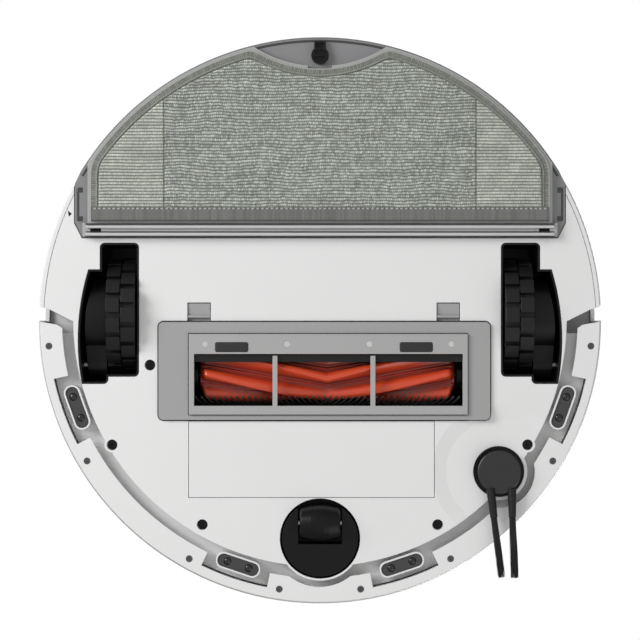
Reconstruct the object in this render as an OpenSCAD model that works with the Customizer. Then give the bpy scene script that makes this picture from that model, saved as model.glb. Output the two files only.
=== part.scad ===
// Round robot vacuum with a mopping module.
// +Z is up, the bumper faces -Y and the water tank is at +Y.
// The origin is on the floor, under the middle of the body.

/* [Body] */
// Diameter of the round body
body_d = 350; // [340:1:430]
// Height of the top cover above the floor
body_h = 80; // [78:1:100]
// Distance that the lower edge of the sides is drawn in
draw_in = 4.8; // [2:0.2:6]
// Gap between the floor and the base plate
floor_gap = 10; // [8:0.5:11]
// Thickness of the base plate
plate_t = 2.5; // [2:0.5:4]
// Thickness of the outer walls
wall_t = 2.6; // [2:0.1:3.5]
// Thickness of the top cover
cover_t = 3; // [2:0.5:4]
// Clearance between pieces that lie face to face
fit_gap = 0.3; // [0.2:0.05:0.5]
// Radial clearance of a shaft in its bore
run_gap = 0.06; // [0.03:0.01:0.09]

/* [Bumper] */
// Distance that the bumper and the tank stand out of the circle
stand_out = 1.5; // [0.5:0.5:3]
// Travel of the bumper that its scoops leave room for
bumper_travel = 3.5; // [2:0.5:4]
// Width of the bumper's bottom lip
lip_w = 18; // [16:1:22]
// Width of the open channel between the lip and the base plate
channel_w = 7; // [6:0.5:9]
// Depth of that channel above the base plate's face
channel_depth = 8; // [6:1:12]
// Height of the infrared window
window_h = 14; // [8:1:20]

/* [Drive wheels] */
// Diameter of a drive wheel
wheel_d = 70; // [64:1:72]
// Width of a tyre
tyre_w = 17.2; // [14:0.2:18]
// Distance of a tyre's middle from the centre line
wheel_x = 121; // [118:0.5:121]
// Place of the wheel axle behind the middle of the body
wheel_y = 3.1; // [0:0.1:5]
// Blocks in each row of the tread
tread_blocks = 18; // [12:1:24]
// Depth of the tread
tread_depth = 3; // [1:0.5:3]
// Distance of the arm's pivot in front of the axle
arm_reach = 31; // [26:1:32]

/* [Caster] */
// Radius of the swivel disc
swivel_r = 23.1; // [20:0.1:24]
// Radius of the caster's roller
roller_r = 11.5; // [10:0.5:12]
// Width of the caster's roller
roller_w = 24.5; // [20:0.5:25]
// Distance of the roller's axle behind the swivel's axis
caster_trail = 9.4; // [6:0.2:10]

/* [Main brush] */
// Left end of the brush cover
guard_left = 98.1; // [90:0.1:102]
// Right end of the brush cover
guard_right = -103.4; // [-104:0.1:-95]
// Front edge of the brush cover
guard_front = -60.7; // [-64:0.1:-60]
// Rear edge of the brush cover
guard_rear = -1.2; // [-3:0.1:0]
// Radius of the brush over its fins
brush_r = 17; // [14:0.5:17]
// Number of fins round the brush
fin_count = 6; // [4:1:8]

/* [Side brush] */
// Radius of the side brush's disc
hub_r = 13.4; // [11:0.1:14]
// Distance from the hub's axis to the bristle tips
brush_reach = 64; // [50:1:66]

/* [Mop and tank] */
// Half of the tank's width
tank_half_w = 149; // [146:0.5:149]
// Front face of the tank
tank_front = 50.2; // [49.8:0.1:54]
// Half of the cloth's width
cloth_half_w = 139.5; // [130:0.5:142]
// Front edge of the cloth
cloth_front = 59.7; // [58:0.1:64]
// Thickness of the cloth
cloth_t = 4; // [2:0.5:4.5]

/* [Turret] */
// Diameter of the laser turret
turret_d = 95; // [88:1:100]
// Height of the turret above the top cover
turret_h = 16.5; // [14:0.5:20]
// Place of the turret's axis behind the middle of the body
turret_y = 5; // [-5:0.5:5]

/* [Hidden] */
$fn = 96;

body_r = body_d / 2;
wide = body_d;
lip_inner_r = body_r - lip_w;
plate_front_r = lip_inner_r - channel_w;
seam_r = body_r - 7.3;
plate_top = floor_gap + plate_t;
lip_z = floor_gap + 1.5;
lip_t = 2.5;
track_z = floor_gap + channel_depth;
track_t = 2;
lower_r = body_r - draw_in;
flare_z = floor_gap + 32;
track_r = lower_r - 4.7;
scoop_r = lower_r - 4.2;
cover_under = body_h - cover_t;
window_z = floor_gap + 36;
skirt_z = cover_under - 3.7;
side_top = skirt_z - 0.8;
edge_r = 3;

wheel_r = wheel_d / 2;
pivot_y = wheel_y - arm_reach;
pivot_z = wheel_r - 5;
pivot_r = 2.5;
pivot_boss_r = 8.5;
arm_x = wheel_x + tyre_w / 2 + 1;
arm_w = 14;
arm_disc_r = 24;
arm_side_r = 143.4;
axle_r = 3;
hub_bore_r = 22;
well_t = 1.2;
well_corner = 3;
well_inner_x = 110;
well_outer_x = 133.9;
well_rear_y = 47;
well_front_y = -34.5;
arm_slot_x = arm_x - 2;
arm_slot_front = -38.9;
arm_slot_rear = 30.8;
arm_slot_r = 147.3;
arm_slot_cy = -12;
well_roof = wheel_d + 1.8;

caster_y = -(plate_front_r - 17.1);
socket_r = swivel_r + 1.3;
socket_wall = 1.2;
socket_top = 40;
fork_bottom = 9.5;
fork_top = 27;
stem_r = 4;
caster_axle_r = 1.5;
roller_y = caster_y + caster_trail;
caster_scoop_r = socket_r + socket_wall + bumper_travel + 0.5;

side_brush_angle = 220.3;
side_brush_orbit = plate_front_r - 7.4;
side_brush_x = side_brush_orbit * cos(side_brush_angle);
side_brush_y = side_brush_orbit * sin(side_brush_angle);
side_boss_r = 17.5;
side_hole_r = 15.5;
side_scoop_r = side_boss_r + bumper_travel + 1;
hub_z = 6;
hub_t = 3.4;
dish_r = 41;
dish_depth = 1.5;
arm_offsets = [5.4, -7.5];
arm_turns = [-6.8, -1.4];
sleeve_r = 2.8;
sleeve_start = 9.5;
sleeve_end = 27.6;
bristle_droop = asin((hub_z - 0.5) / (brush_reach - sleeve_end));

cliff_angles = [-19.8, -71.5, -160.2, -108.5];
cliff_l = 28;
cliff_w = 10;
cliff_rim = 1;
cliff_led_gap = 13.5;
scoop_half_angle = 7.3;
lip_screw_angles = [-5.5, -31.2, -61.3, -81.4, -98.6, -118.7, -148.8, -174.5];
lip_screw_r = lower_r - 4.5;
lip_screw_head_r = 2;

brush_x0 = -82;
brush_x1 = 73;
brush_y = guard_rear - 32.3;
brush_z = brush_r + 9;
core_r = 6;
journal_r = 3;
cavity_r = brush_r + 2;
cavity_x0 = -88;
cavity_x1 = 78;
end_cap_r = 9;
housing_x0 = -93;
housing_x1 = 83;
housing_y0 = -60;
housing_y1 = brush_y + cavity_r + 3;
housing_top = brush_z + cavity_r + 3;
frame_x0 = guard_right + 13.8;
frame_x1 = guard_left - 18.5;
frame_y0 = guard_front + 3.3;
frame_y1 = guard_rear - 7.3;
mouth_x0 = frame_x0 + 3;
mouth_x1 = frame_x1 - 3.2;
mouth_y0 = frame_y0 + 5.3;
mouth_y1 = frame_y1 - 12.2;
guard_z = brush_z - brush_r - 2.5;
guard_top = floor_gap - fit_gap;
cover_z = floor_gap - 1.8;
bar_w = 3;
bar_x = [-33.6, 25.8];
guard_screw_x = [-79.6, -29.9, 20.1, 69.8];
guard_screw_y = frame_y1 - 6.1;
guard_screw_r = 1.8;
blade_w = 4.8;
latch_w = 13.4;
latch_l = 14.1;
latch_t = 1.5;
latch_x = [73.5, -78];
latch_y = guard_rear - 2.8;
latch_z = floor_gap + 0.4;
latch_hole_y0 = guard_rear - 4.8;
latch_hole_l = 16.6;

duct_half_w = 34;
duct_z = brush_z + 3;
duct_h = 20;
duct_t = 2;
fan_x = -72;
fan_y = 24;
fan_z = 15;
fan_r = 20;
fan_h = 35;
fan_shaft_r = 2;
fan_blades = 9;

battery_x0 = -69.4;
battery_x1 = 79.7;
battery_y0 = caster_y + socket_r + 0.7;
battery_y1 = -61.6;
battery_h = 23;
board_z = 52;
base_screw_spots = [
    [103.4, -27.4],
    (plate_front_r - 6.4) * [cos(-60.1), sin(-60.1)],
    (plate_front_r - 6.4) * [cos(-119.9), sin(-119.9)],
    (plate_front_r - 2.5) * [cos(-31), sin(-31)],
    (plate_front_r - 2.5) * [cos(-149), sin(-149)]
];
screw_hole_r = 3.3;
screw_boss_r = 4.6;
screw_shank_r = 1.5;

bay_half_w = tank_half_w + 0.6;
bay_front = tank_front - 0.4;
tank_z = floor_gap - 0.2;
tank_top = side_top - 2;
tank_lid_t = 2;
tank_t = 2.5;
corner_cut = 4.5;
divider_y = 110.5;
bin_x = 95;
bin_y0 = tank_front + tank_t + 0.4;
bin_y1 = divider_y - 0.4;
bin_z0 = tank_z + tank_t + 0.4;
bin_z1 = tank_top - 0.6;
bin_t = 2;
filter_x = fan_x;
filter_w = 40;
filter_t = 7;
port_z = duct_z + duct_t;
port_h = duct_h - 2 * duct_t;
mop_plate_t = 3.4;
mop_plate_z = tank_z - 0.1 - mop_plate_t;
cloth_z = mop_plate_z - 0.1 - cloth_t;
cloth_r = lower_r - 2.4;
notch_r = 76;
notch_y = body_r - 22.5;
strip_w = 8.7;
clip_x = 136;
clip_w = 6;
clip_r = 2;
latch_front = body_r - 19.8;
latch_back = body_r - 5.9;
tank_latch_r = 5.3;

turret_r = turret_d / 2;
turret_top = body_h + turret_h;
rotor_r = turret_r - 7;
spindle_r = 8;
button_r = 6.5;
button_x = 14;
button_y = -72;

// A rectangle with round corners made of short straight edges.
function rounded_points(w, l, r) = [
    for (corner = [0:3])
        for (step = [0:6])
            let (turn = corner * 90 + step * 15)
            let (side_x = (corner == 0 || corner == 3) ? 1 : -1)
            let (side_y = (corner < 2) ? 1 : -1)
            [side_x * (w / 2 - r) + r * cos(turn), side_y * (l / 2 - r) + r * sin(turn)]
];

module rounded_rect(w, l, r) {
    polygon(rounded_points(w, l, r));
}

module box(x0, x1, y0, y1, z0, z1) {
    translate([x0, y0, z0])
        cube([x1 - x0, y1 - y0, z1 - z0]);
}

// A flat piece that stands on height z.
module slab(z, t) {
    translate([0, 0, z])
        linear_extrude(t)
            children();
}

// A round bar along X.
module bar_x(x0, x1, y, z, r) {
    translate([x0, y, z])
        rotate([0, 90, 0])
            cylinder(h = x1 - x0, r = r);
}

module ring(r0, r1) {
    difference() {
        circle(r1);
        circle(r0);
    }
}

module at_angle(a, r) {
    rotate([0, 0, a])
        translate([r, 0, 0])
            children();
}

module both_sides() {
    children();
    mirror([1, 0, 0])
        children();
}

// The points and their mirror images, in the order of one closed outline.
function mirrored(points) = concat(
    points, [for (i = [len(points) - 1:-1:0]) [-points[i].x, points[i].y]]
);

// Everything that belongs to the bumper, in front of its two end edges.
module bumper_zone() {
    polygon(mirrored([
        [lip_inner_r - 0.6, -5.3], [lip_inner_r + 2.9, -2.9],
        [body_r - 0.7, -0.4], [wide, -0.4], [wide, -wide]
    ]));
}

// Everything behind the notch that the bumper's ends move in.
module rear_zone() {
    polygon(mirrored([
        [plate_front_r - 0.6, -1.1], [body_r - 11, 6.2],
        [body_r - 0.7, 9.6], [wide, 18], [wide, wide]
    ]));
}

// Solid of the sides: drawn in at the bottom and upright above flare_z.
module tapered_body(inset) {
    rotate_extrude($fn = 180)
        polygon([
            [0, floor_gap - 1], [lower_r - inset, floor_gap - 1], [lower_r - inset, floor_gap + 1],
            [body_r - inset, flare_z], [body_r - inset, body_h], [0, body_h]
        ]);
}

module tank_bay() {
    tank_outline(-0.5);
}

// The hole of a wheel well, made smaller by inset all round.
module well_outline(inset) {
    translate([(well_inner_x + well_outer_x) / 2, (well_front_y + well_rear_y) / 2])
        rounded_rect(
            well_outer_x - well_inner_x - 2 * inset, well_rear_y - well_front_y - 2 * inset,
            well_corner - inset);
    intersection() {
        translate([arm_slot_x + 15, (arm_slot_front + arm_slot_rear) / 2])
            rounded_rect(30 - 2 * inset, arm_slot_rear - arm_slot_front - 2 * inset, well_corner - inset);
        translate([0, arm_slot_cy])
            circle(arm_slot_r - inset, $fn = 180);
    }
}

module base_plate() {
    color("whitesmoke")
        difference() {
            union() {
                slab(floor_gap, plate_t)
                    base_outline();
                for (spot = base_screw_spots)
                    translate([spot.x, spot.y, plate_top - 0.5])
                        cylinder(h = 11, r = screw_boss_r);
            }
            translate([side_brush_x, side_brush_y, floor_gap - 0.01])
                cylinder(h = dish_depth, r1 = dish_r, r2 = dish_r - 9);
            slab(floor_gap - 1, 1.9)
                translate([(guard_left + guard_right) / 2, (guard_rear + guard_front) / 2])
                    rounded_rect(guard_left - guard_right + 1.4, guard_rear - guard_front + 1.4, 3.7);
            for (spot = base_screw_spots)
                translate([spot.x, spot.y, floor_gap - 1]) {
                    cylinder(h = 9, r = screw_hole_r);
                    cylinder(h = 13, r = screw_shank_r);
                }
        }
}

module base_outline() {
    difference() {
        union() {
            circle(plate_front_r, $fn = 180);
            intersection() {
                circle(seam_r, $fn = 180);
                rear_zone();
            }
            translate([side_brush_x, side_brush_y])
                circle(side_boss_r);
            translate([0, caster_y])
                circle(socket_r + socket_wall);
            for (spot = base_screw_spots)
                translate(spot)
                    circle(screw_boss_r);
        }
        both_sides()
            well_outline(0);
        tank_bay();
        translate([0, caster_y])
            circle(socket_r);
        translate([side_brush_x, side_brush_y])
            circle(side_hole_r);
        polygon([[153.4, 66.6], [150.9, 64.6], [152.6, 62.8]]);
        translate([battery_x0 - fit_gap, battery_y0 - fit_gap])
            square([battery_x1 - battery_x0 + 2 * fit_gap, battery_y1 - battery_y0 + 2 * fit_gap]);
        translate([cavity_x0, housing_y0 + 2])
            square([cavity_x1 - cavity_x0, frame_y1 - housing_y0 - 12]);
        for (x = latch_x)
            translate([x - latch_w / 2 - 0.4, latch_hole_y0])
                square([latch_w + 0.8, latch_hole_l]);
        for (spot = base_screw_spots)
            translate(spot)
                circle(screw_hole_r);
    }
}

// Inner wall and the roof of the bumper channel.
module mid_frame() {
    color("gainsboro")
        difference() {
            union() {
                slab(plate_top + 0.1, cover_under - plate_top - 0.2)
                    intersection() {
                        ring(plate_front_r - 3.2, plate_front_r - 0.6);
                        translate([-wide, -wide - 41])
                            square([2 * wide, wide]);
                    }
                slab(track_z, track_t)
                    intersection() {
                        ring(plate_front_r - 1.4, track_r);
                        translate([-wide, -wide - 8])
                            square([2 * wide, wide]);
                    }
            }
            translate([0, caster_y, 0])
                cylinder(h = socket_top + 3, r = socket_r + socket_wall + fit_gap);
            translate([side_brush_x, side_brush_y, 0])
                cylinder(h = 46, r = side_boss_r + fit_gap);
            for (spot = base_screw_spots)
                translate([spot.x, spot.y, 0])
                    cylinder(h = plate_top + 11, r = screw_boss_r + fit_gap);
            slab(0, body_h)
                both_sides()
                    well_outline(-fit_gap);
        }
}

// Front and side walls of the bay that the tank slides into.
module rear_frame() {
    color("dimgray")
        difference() {
            intersection() {
                slab(plate_top + 0.1, tank_top - plate_top - 0.1)
                    polygon(mirrored([
                        [bay_half_w + 2, bay_front - 2.2], [bay_half_w + 2, bay_front + 34],
                        [bay_half_w, bay_front + 34], [bay_half_w, bay_front]
                    ]));
                tapered_body(wall_t + fit_gap);
            }
            box(-duct_half_w + duct_t, duct_half_w - duct_t, 0, wide, port_z, port_z + port_h);
            box(fan_x - 16, fan_x + 16, 0, wide, fan_z + 9, fan_z + fan_h - 2);
        }
}

// Outer wall behind the bumper, with the air slots of the fan.
module side_shell() {
    slot_count = 9;
    color("white")
        difference() {
            intersection() {
                union() {
                    slab(floor_gap, plate_t)
                        shell_outline(seam_r + fit_gap);
                    difference() {
                        slab(plate_top - 0.5, side_top - plate_top + 0.5)
                            shell_outline(lower_r - wall_t - 4);
                        tapered_body(wall_t);
                    }
                    slab(plate_top, side_top - plate_top)
                        notch_wall();
                }
                tapered_body(0);
            }
            both_sides()
                for (i = [0:slot_count - 1])
                    at_angle(12 + 1.5 * i, body_r)
                        translate([-6, -1, 36])
                            cube([12, 2, 22]);
        }
}

module shell_outline(inner_r) {
    difference() {
        intersection() {
            ring(inner_r, body_r);
            rear_zone();
        }
        tank_bay();
    }
}

module notch_wall() {
    both_sides()
        polygon([
            [plate_front_r + 0.4, -0.6], [body_r - 11, 6.2], [body_r - 1.5, 9.3],
            [body_r - 1.5, 11.4], [body_r - 11.4, 8.3], [plate_front_r + 0.4, 1.5]
        ]);
}

// Profile of the cover: a flat top and an edge rounded in short bevels.
module top_cover() {
    color("white")
        difference() {
            rotate_extrude($fn = 180)
                polygon(concat(
                    [[0, cover_under], [0, body_h]],
                    [for (a = [90:-22.5:0]) [body_r - edge_r, body_h - edge_r] + edge_r * [cos(a), sin(a)]],
                    [[body_r, skirt_z], [body_r - wall_t, skirt_z], [body_r - wall_t, cover_under]]
                ));
            translate([0, turret_y, cover_under - 1])
                cylinder(h = cover_t + 2, r = spindle_r + 6);
            both_sides()
                translate([button_x, button_y, cover_under - 1])
                    cylinder(h = cover_t + 2, r = button_r + fit_gap);
        }
}

module battery_cover() {
    color("whitesmoke")
        difference() {
            box(battery_x0, battery_x1, battery_y0, battery_y1, floor_gap, plate_top);
            translate([0, caster_y, 0])
                cylinder(h = body_h, r = socket_r + 0.3);
        }
}

module battery_pack() {
    cell_r = 9.2;
    color("royalblue")
        union() {
            translate([battery_x0 + 2, battery_y0 + 2, plate_top + 0.5])
                cube([battery_x1 - battery_x0 - 4, battery_y1 - battery_y0 - 6, 11.5]);
            for (i = [0:6])
                translate([battery_x0 + 13 + i * 20.4, 0, 0])
                    rotate([90, 0, 0])
                        translate([0, plate_top + battery_h - cell_r, 4.4 - battery_y1])
                            cylinder(h = battery_y1 - battery_y0 - 7.2, r = cell_r);
        }
}

module main_board() {
    color("darkgreen")
        union() {
            box(-70, 70, -124, -66, board_z, board_z + 1.6);
            box(-50, -30, -110, -90, board_z + 1.6, board_z + 3.2);
            box(-8, 10, -112, -94, board_z + 1.6, board_z + 4);
            box(36, 56, -100, -80, board_z + 1.6, board_z + 5);
        }
}

module brush_housing() {
    color("black")
        difference() {
            box(housing_x0, housing_x1, housing_y0, housing_y1, plate_top + 0.1, housing_top);
            bar_x(cavity_x0, cavity_x1, brush_y, brush_z, cavity_r);
            box(cavity_x0, cavity_x1, housing_y0 + 2, brush_y + cavity_r - 0.4, 0, brush_z);
            box(-duct_half_w + duct_t, duct_half_w - duct_t, brush_y + 5, 0, port_z, port_z + port_h);
        }
}

module brush_motor() {
    color("silver")
        union() {
            bar_x(50, 92, 27, 32, 13);
            bar_x(92, 97, 27, 32, 5);
            box(56, 62, 20, 34, plate_top + 0.1, 21);
            box(80, 86, 20, 34, plate_top + 0.1, 21);
        }
}

module suction_duct() {
    color("dimgray")
        difference() {
            box(-duct_half_w, duct_half_w, housing_y1 + 0.2, bay_front - 2.4, duct_z, duct_z + duct_h);
            box(-duct_half_w + duct_t, duct_half_w - duct_t, -wide, wide, port_z, port_z + port_h);
        }
}

module fan_housing() {
    color("dimgray")
        difference() {
            translate([fan_x, fan_y, plate_top + 0.1])
                cylinder(h = fan_z + fan_h - plate_top - 0.1, r = fan_r);
            translate([fan_x, fan_y, fan_z + 5])
                cylinder(h = fan_h - 7, r = fan_r - 2);
            translate([fan_x, fan_y, fan_z - 1])
                cylinder(h = 7, r = fan_shaft_r + run_gap);
            box(fan_x - 14, fan_x + 14, fan_y + 8, fan_y + 30, fan_z + 9, fan_z + fan_h - 2);
            box(latch_x[1] - latch_w / 2 - 1, latch_x[1] + latch_w / 2 + 1, 0, 13, 0, latch_z + 5.6);
        }
}

module fan_impeller() {
    color("lightgray")
        translate([fan_x, fan_y, 0])
            union() {
                translate([0, 0, fan_z - 0.6])
                    cylinder(h = 10, r = fan_shaft_r);
                translate([0, 0, fan_z + 7])
                    cylinder(h = 2.4, r = fan_r - 4);
                translate([0, 0, fan_z + 7])
                    cylinder(h = 16, r = 5);
                for (i = [0:fan_blades - 1])
                    rotate([0, 0, i * 360 / fan_blades])
                        translate([3, -0.7, fan_z + 8])
                            cube([fan_r - 8, 1.4, 12]);
            }
}

module side_brush_motor() {
    color("dimgray")
        translate([side_brush_x, side_brush_y, 0])
            difference() {
                union() {
                    translate([0, 0, plate_top + 0.1])
                        cylinder(h = 17, r = side_boss_r - 0.1);
                    translate([0, 0, plate_top + 17])
                        cylinder(h = 15, r = 12);
                }
                cylinder(h = 26, r = stem_r + run_gap);
            }
}

module cliff_housings() {
    slot_w = cliff_w - 2 * cliff_rim;
    color("whitesmoke")
        for (a = cliff_angles)
            at_angle(a, lip_inner_r)
                difference() {
                    slab(floor_gap + 0.2, channel_depth - 0.4)
                        rounded_rect(cliff_w, cliff_l, cliff_w / 2 - 0.2);
                    slab(floor_gap - 1, 3.5)
                        rounded_rect(slot_w, cliff_l - 2 * cliff_rim, slot_w / 2 - 0.2);
                }
}

module cliff_windows() {
    color("black")
        for (a = cliff_angles)
            at_angle(a, lip_inner_r)
                difference() {
                    slab(floor_gap + 1, 1.4)
                        rounded_rect(cliff_w - 2.4, cliff_l - 2.4, cliff_w / 2 - 1.4);
                    for (side = [-1, 1])
                        translate([0, side * cliff_led_gap / 2, floor_gap + 0.5])
                            cylinder(h = 1.2, r = 2.4);
                }
}

module caster_socket() {
    color("black")
        translate([0, caster_y, 0])
            difference() {
                translate([0, 0, plate_top + 0.1])
                    cylinder(h = socket_top + 1.9 - plate_top, r = socket_r + socket_wall);
                translate([0, 0, floor_gap - 1])
                    cylinder(h = fork_top + 0.5 - floor_gap + 1, r = socket_r);
                translate([0, 0, floor_gap])
                    cylinder(h = socket_top - floor_gap, r = stem_r + run_gap);
            }
}

module wheel_well() {
    difference() {
        slab(floor_gap + 0.2, well_roof + 1.5 - floor_gap - 0.2)
            well_outline(0.15);
        slab(floor_gap - 1, well_roof - floor_gap + 1)
            well_outline(well_t + 0.15);
        bar_x(arm_x, wide, pivot_y, pivot_z, pivot_r + 0.05);
    }
}

module left_wheel_well() {
    color("black")
        wheel_well();
}

module right_wheel_well() {
    color("black")
        mirror([1, 0, 0])
            wheel_well();
}

// Pins that the two wheel arms swing on, fixed in the outer walls of the wells.
module wheel_pivot_pins() {
    pin_end = sqrt(pow(arm_slot_r - 0.3, 2) - pow(pivot_y - pivot_r - arm_slot_cy, 2));
    color("silver")
        both_sides()
            bar_x(arm_x + 0.4, pin_end, pivot_y, pivot_z, pivot_r);
}

module brush_end_caps() {
    color("black")
        difference() {
            union() {
                bar_x(cavity_x0 + 0.1, brush_x0 - 1.5, brush_y, brush_z, end_cap_r);
                bar_x(brush_x1 + 1.5, cavity_x1 - 0.1, brush_y, brush_z, end_cap_r);
            }
            bar_x(cavity_x0 - 1, cavity_x1 + 1, brush_y, brush_z, journal_r + run_gap);
        }
}

module base_screws() {
    color("gray")
        for (spot = base_screw_spots)
            translate([spot.x, spot.y, 0])
                difference() {
                    union() {
                        translate([0, 0, floor_gap + 5.5])
                            cylinder(h = 2.4, r = screw_hole_r - 0.3);
                        translate([0, 0, floor_gap + 7])
                            cylinder(h = 4.5, r = screw_shank_r - 0.05);
                    }
                    box(-1.6, 1.6, -0.4, 0.4, floor_gap, floor_gap + 6.6);
                    box(-0.4, 0.4, -1.6, 1.6, floor_gap, floor_gap + 6.6);
                }
}

module lidar_base() {
    color("black")
        translate([0, turret_y, 0])
            difference() {
                translate([0, 0, cover_under - 12])
                    cylinder(h = 11.8, r = 40);
                translate([0, 0, cover_under - 6])
                    cylinder(h = 8, r = 36);
                translate([0, 0, cover_under - 13])
                    cylinder(h = 8, r = spindle_r + run_gap);
            }
}

module lidar_rotor() {
    color("black")
        translate([0, turret_y, 0])
            difference() {
                union() {
                    translate([0, 0, cover_under - 11.5])
                        cylinder(h = 16, r = spindle_r);
                    translate([0, 0, body_h + 0.8])
                        cylinder(h = turret_h - 6.4, r = rotor_r);
                }
                box(-14, 14, -rotor_r - 1, -rotor_r + 8, body_h + 3, body_h + turret_h - 7.6);
            }
}

// Fixed cap of the turret, on posts that the laser looks out between.
module turret_cap() {
    posts = 6;
    color("white")
        translate([0, turret_y, 0])
            union() {
                slab(body_h + 0.1, 3)
                    ring(turret_r - 4, turret_r);
                for (i = [0:posts - 1])
                    rotate([0, 0, i * 360 / posts])
                        box(turret_r - 3.6, turret_r - 1, -3, 3, body_h + 2, turret_top - 3);
                rotate_extrude()
                    polygon([
                        [0, turret_top - 4.2], [0, turret_top], [turret_r - 3, turret_top],
                        [turret_r - 0.8, turret_top - 0.8], [turret_r, turret_top - 3],
                        [turret_r, turret_top - 4.2]
                    ]);
            }
}

module bumper_shell() {
    color("white")
        difference() {
            intersection() {
                translate([0, -stand_out, 0])
                    difference() {
                        tapered_body(0);
                        tapered_body(wall_t);
                    }
                slab(lip_z + lip_t + 0.1, side_top - lip_z - lip_t - 0.1)
                    bumper_zone();
            }
            translate([0, -stand_out, window_z])
                rotate([0, 0, -116])
                    rotate_extrude(angle = 52, $fn = 180)
                        translate([body_r - wall_t - 1, 0])
                            square([wall_t + 2, window_h]);
        }
}

module bumper_window() {
    color("black")
        translate([0, -stand_out, window_z + 0.1])
            rotate([0, 0, -115.9])
                rotate_extrude(angle = 51.8, $fn = 180)
                    translate([body_r - wall_t + 0.2, 0])
                        square([wall_t - 0.4, window_h - 0.2]);
}

// Bottom ring of the bumper, with scoops for the sensors, the caster and the side brush.
module bumper_lip() {
    color("whitesmoke")
        difference() {
            slab(lip_z, lip_t)
                intersection() {
                    difference() {
                        translate([0, -stand_out])
                            circle(lower_r, $fn = 180);
                        circle(lip_inner_r, $fn = 180);
                        for (a = cliff_angles)
                            rotate([0, 0, a])
                                sensor_scoop();
                        translate([0, caster_y])
                            circle(caster_scoop_r);
                        translate([side_brush_x, side_brush_y])
                            circle(side_scoop_r);
                    }
                    bumper_zone();
                }
            for (a = lip_screw_angles)
                at_angle(a, lip_screw_r)
                    cylinder(h = wide, r = lip_screw_head_r + 0.1);
        }
}

module sensor_scoop() {
    reach = scoop_r / cos(scoop_half_angle);
    intersection() {
        circle(scoop_r, $fn = 180);
        polygon([
            [0, 0], [reach * cos(scoop_half_angle), -reach * sin(scoop_half_angle)],
            [reach * cos(scoop_half_angle), reach * sin(scoop_half_angle)]
        ]);
    }
}

module bumper_screws() {
    color("gray")
        for (a = lip_screw_angles)
            at_angle(a, lip_screw_r)
                difference() {
                    translate([0, 0, lip_z + 0.5])
                        cylinder(h = lip_t - 0.5, r = lip_screw_head_r);
                    box(-1.2, 1.2, -0.3, 0.3, lip_z, lip_z + 1.2);
                    box(-0.3, 0.3, -1.2, 1.2, lip_z, lip_z + 1.2);
                }
}

// Straight web between two round bosses, a little narrower than both.
module web(p0, r0, p1, r1) {
    run = p1 - p0;
    across = [-run.y, run.x] / norm(run);
    polygon([
        p0 + across * r0 * 0.96, p1 + across * r1 * 0.96,
        p1 - across * r1 * 0.96, p0 - across * r0 * 0.96
    ]);
}

module wheel_arm() {
    difference() {
        intersection() {
            union() {
                bar_x(arm_x, arm_x + arm_w, pivot_y, pivot_z, pivot_boss_r);
                bar_x(arm_x, arm_x + arm_w, wheel_y, wheel_r, arm_disc_r);
                translate([arm_x, 0, 0])
                    rotate([90, 0, 90])
                        linear_extrude(arm_w)
                            web([pivot_y, pivot_z], pivot_boss_r, [wheel_y, wheel_r], arm_disc_r - 4);
            }
            translate([0, arm_slot_cy, 0])
                cylinder(h = body_h, r = arm_side_r, $fn = 180);
        }
        bar_x(arm_x - 1, arm_x + arm_w + 1, pivot_y, pivot_z, pivot_r + run_gap);
        bar_x(arm_x - 1, arm_x + 9.5, wheel_y, wheel_r, axle_r + run_gap);
    }
}

module left_arm() {
    color("black")
        wheel_arm();
}

module right_arm() {
    color("black")
        mirror([1, 0, 0])
            wheel_arm();
}

// Tyre with two rows of square blocks, half a block apart.
module tyre() {
    groove = 0.8;
    gap = 3.2;
    half = tyre_w / 2;
    difference() {
        bar_x(wheel_x - half, wheel_x + half, wheel_y, wheel_r, wheel_r);
        bar_x(wheel_x - half - 1, wheel_x + half + 1, wheel_y, wheel_r, hub_bore_r);
        translate([wheel_x, wheel_y, wheel_r])
            rotate([0, 90, 0])
                slab(-groove / 2, groove)
                    ring(wheel_r - tread_depth, wheel_r + 1);
        for (i = [0:tread_blocks - 1])
            for (row = [0, 1])
                translate([wheel_x, wheel_y, wheel_r])
                    rotate([(i + (row == 0 ? 0.5 : 0)) * 360 / tread_blocks - 90, 0, 0])
                        translate([row * (half + 1) - half - 1, wheel_r - tread_depth, -gap / 2])
                            cube([half + 1, tread_depth + 1, gap]);
    }
}

module left_tyre() {
    color("black")
        tyre();
}

module right_tyre() {
    color("black")
        mirror([1, 0, 0])
            tyre();
}

module wheel_hub() {
    half = tyre_w / 2;
    difference() {
        union() {
            bar_x(wheel_x - half + 1, wheel_x + half, wheel_y, wheel_r, hub_bore_r - 0.05);
            bar_x(wheel_x, arm_x + 9, wheel_y, wheel_r, axle_r);
        }
        difference() {
            bar_x(wheel_x - half - 1, wheel_x - half + 5, wheel_y, wheel_r, hub_bore_r - 3);
            bar_x(wheel_x - half - 1, wheel_x - half + 5, wheel_y, wheel_r, 7);
        }
    }
}

module left_hub() {
    color("dimgray")
        wheel_hub();
}

module right_hub() {
    color("dimgray")
        mirror([1, 0, 0])
            wheel_hub();
}

module caster_fork() {
    slot_half_w = roller_w / 2 + 1;
    color("black")
        difference() {
            union() {
                translate([0, caster_y, fork_bottom])
                    cylinder(h = fork_top - fork_bottom, r = swivel_r);
                translate([0, caster_y, fork_top - 1])
                    cylinder(h = socket_top - fork_top, r = stem_r);
            }
            box(-slot_half_w, slot_half_w, caster_y - 3.3, caster_y + 40, 0, 2 * roller_r + 1.2);
            bar_x(-15.6, 15.6, roller_y, roller_r, caster_axle_r);
        }
}

module caster_axle() {
    color("silver")
        bar_x(-15.5, 15.5, roller_y, roller_r, caster_axle_r - 0.02);
}

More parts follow.
